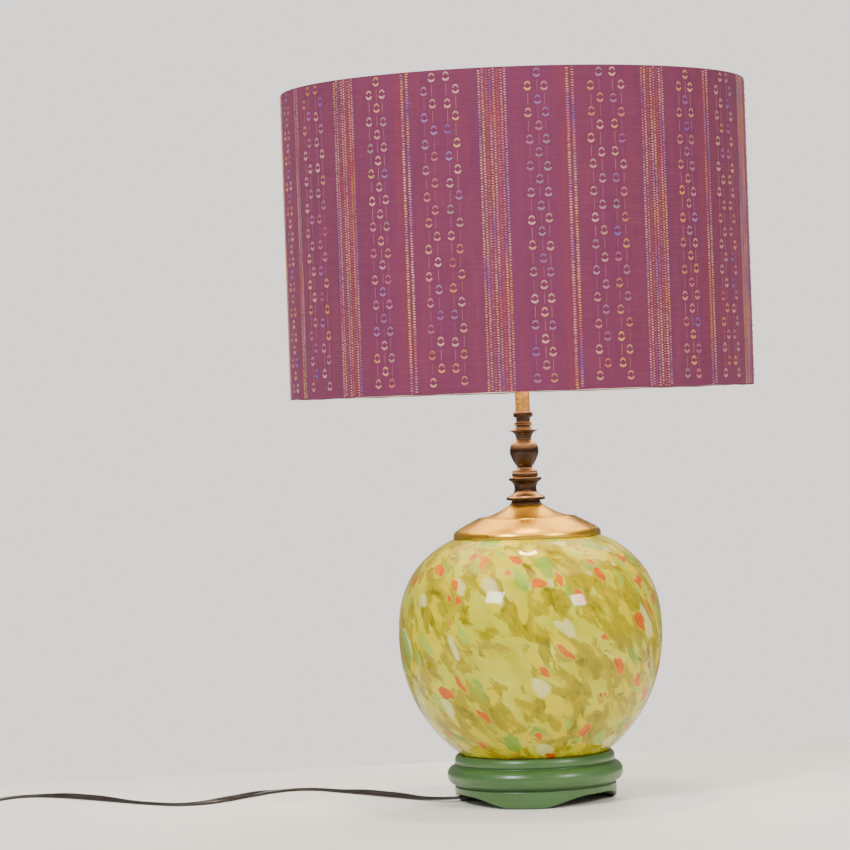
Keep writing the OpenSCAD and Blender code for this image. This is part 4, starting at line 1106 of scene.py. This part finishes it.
def dash(length, thick, proud, sides=6):
    """A short padded stitch: a flat six-sided foot, a narrower waist and a crown."""
    t = (np.arange(sides) + 0.5) / sides * 2 * math.pi
    foot = np.stack([length / 2 * np.cos(t), thick / 2 * np.sin(t), np.full(sides, -0.1 * mm)], 1)
    waist = foot * (0.78, 0.78, 0) + (0, 0, proud * 0.75)
    faces = [[k, (k + 1) % sides, sides + (k + 1) % sides, sides + k] for k in range(sides)]
    faces += [[sides + k, sides + (k + 1) % sides, 2 * sides] for k in range(sides)]
    return np.vstack([foot, waist, [(0, 0, proud)]]), faces + [list(range(sides))[::-1]]


def loop_stitch(half_w, rise, thick, proud, direction):
    """A thread bowed up or down: an arc of an ellipse carried with a flat five-sided section whose
    thickness falls off towards both ends."""
    t = np.linspace(0.04, 0.96, 6) * math.pi
    middle = np.stack([-half_w * np.cos(t), direction * rise * np.sin(t)], 1)
    ahead = along(middle)
    side = np.stack([-ahead[:, 1], ahead[:, 0]], 1)
    fat = (0.45 + 0.55 * np.sin(t))[:, None]
    section = np.array([(-0.5, -0.1), (-0.36, 0.75), (0, 1.0), (0.36, 0.75), (0.5, -0.1)])
    flat = middle[:, None, :] + side[:, None, :] * (section[None, :, :1] * thick * fat[:, None])
    standing = np.broadcast_to(section[None, :, 1:] * proud, (6, 5, 1)) * (0.5 + 0.5 * fat[:, None])
    points = np.concatenate([flat, standing], 2)
    faces = [face[::-1] for face in grid_faces(6, 5)] + [[0, 1, 2, 3, 4], [29, 28, 27, 26, 25]]
    return points.reshape(-1, 3), faces


repeats = np.arange(-5, 6) * pattern_repeat
seam_side = round_it / 2 - 1.5 * mm
dash_pitch = 2.15 * mm
ladder_rise = np.arange(shade_z + 1.6 * mm, shade_top - 1.4 * mm, dash_pitch)
ring_pitch = 21.8 * mm
first_ring = 5.9 * mm


def column_places(offsets):
    """Where columns of these offsets stand, in every repeat that falls short of the seam."""
    places = (repeats[:, None] + np.array(offsets)[None, :] * mm).ravel()
    return places[np.abs(places) < seam_side]


def ladder(name, middles, half_apart, length, thick):
    """Pairs of dash columns, the right one half a pitch higher, each with its own dyes."""
    across, height, colour = [], [], []
    for middle in column_places(middles):
        for side in (-1, 1):
            rise = ladder_rise + (side > 0) * dash_pitch / 2
            wander = thread_rng.normal(0, 0.12 * mm, len(rise))
            across.append(np.full(len(rise), middle + side * half_apart) + wander)
            height.append(rise + thread_rng.normal(0, 0.08 * mm, len(rise)))
            colour.append(sunk(dyed(rise - shade_z), 0.6 * (thread_rng.random(len(rise)) < 0.15)))
    return stitched(name, np.concatenate(across), np.concatenate(height), np.concatenate(colour),
                    dash(length, thick, 0.55 * mm))


def ring_columns(offsets_and_phases):
    """Places and colours of the rings, from the top: columns of phase 1 start half a pitch lower."""
    across, height, colour = [], [], []
    for offset, phase in offsets_and_phases:
        for middle in column_places([offset]):
            rise = np.arange(shade_top - first_ring - phase * ring_pitch / 2, shade_z + 4 * mm, -ring_pitch)
            across.append(np.full(len(rise), middle) + thread_rng.normal(0, 0.3 * mm, len(rise)))
            height.append(rise + thread_rng.normal(0, 0.35 * mm, len(rise)))
            colour.append(sunk(dyed(rise - shade_z), thread_rng.uniform(0, 0.5, len(rise))))
    return np.concatenate(across), np.concatenate(height), np.concatenate(colour)


cotton = Paint("space_dyed_pearl_cotton", Roughness=0.55, Sheen_Weight=0.4, Sheen_Roughness=0.3)
dye = cotton.node("VertexColor", {"layer_name": "thread"}).outputs["Color"]
twist = cotton.noise(cotton.place(), 2600, 2)
twist_shade = cotton.ramp(twist, (0.35, (0.35,)), (0.6, (0.0,)))
cotton.wire(Base_Color=cotton.mix(twist_shade, dye, (0.20, 0.05, 0.10, 1)),
            Normal=cotton.bump(twist, 0.0002, 0.6))
across, height, colour = ring_columns([(29.1, 1), (37.2, 0), (43.4, 1), (82.1, 1), (89.8, 0), (102.3, 0),
                                       (109.6, 1)])
has_next = height > shade_z + ring_pitch
between_ladders = (-4.6, 4.6)
filler_rise = np.tile(ladder_rise, len(column_places(between_ladders)))
filler_across = np.repeat(column_places(between_ladders), len(ladder_rise))
filler_colour = np.concatenate([sunk(dyed(ladder_rise - shade_z),
                                     thread_rng.uniform(0.45, 1, len(ladder_rise)))
                                for _ in column_places(between_ladders)])
embroidery = [
    ladder("triple_ladders", (-9.2, 0, 9.2), 1.45 * mm, 2.4 * mm, 1.3 * mm),
    ladder("wide_ladders", (64.5,), 2.3 * mm, 3.2 * mm, 1.4 * mm),
    stitched("weft_dashes", filler_across, filler_rise, filler_colour, dash(3.6 * mm, 0.9 * mm, 0.12 * mm)),
    stitched("upper_loops", across, height + 0.7 * mm, sunk(colour, 0.2),
             loop_stitch(2.25 * mm, 2.7 * mm, 1.7 * mm, 0.6 * mm, 1)),
    stitched("lower_loops", across, height - 0.5 * mm, colour,
             loop_stitch(2.7 * mm, 2.4 * mm, 2.1 * mm, 0.75 * mm, -1)),
    stitched("joining_threads", across[has_next], height[has_next] - ring_pitch / 2,
             sunk(colour[has_next], 0.6),
             dash(0.6 * mm, 14 * mm, 0.22 * mm))]
for stitches in embroidery:
    finish_piece(stitches, "shade", "striped_fabric", cotton)
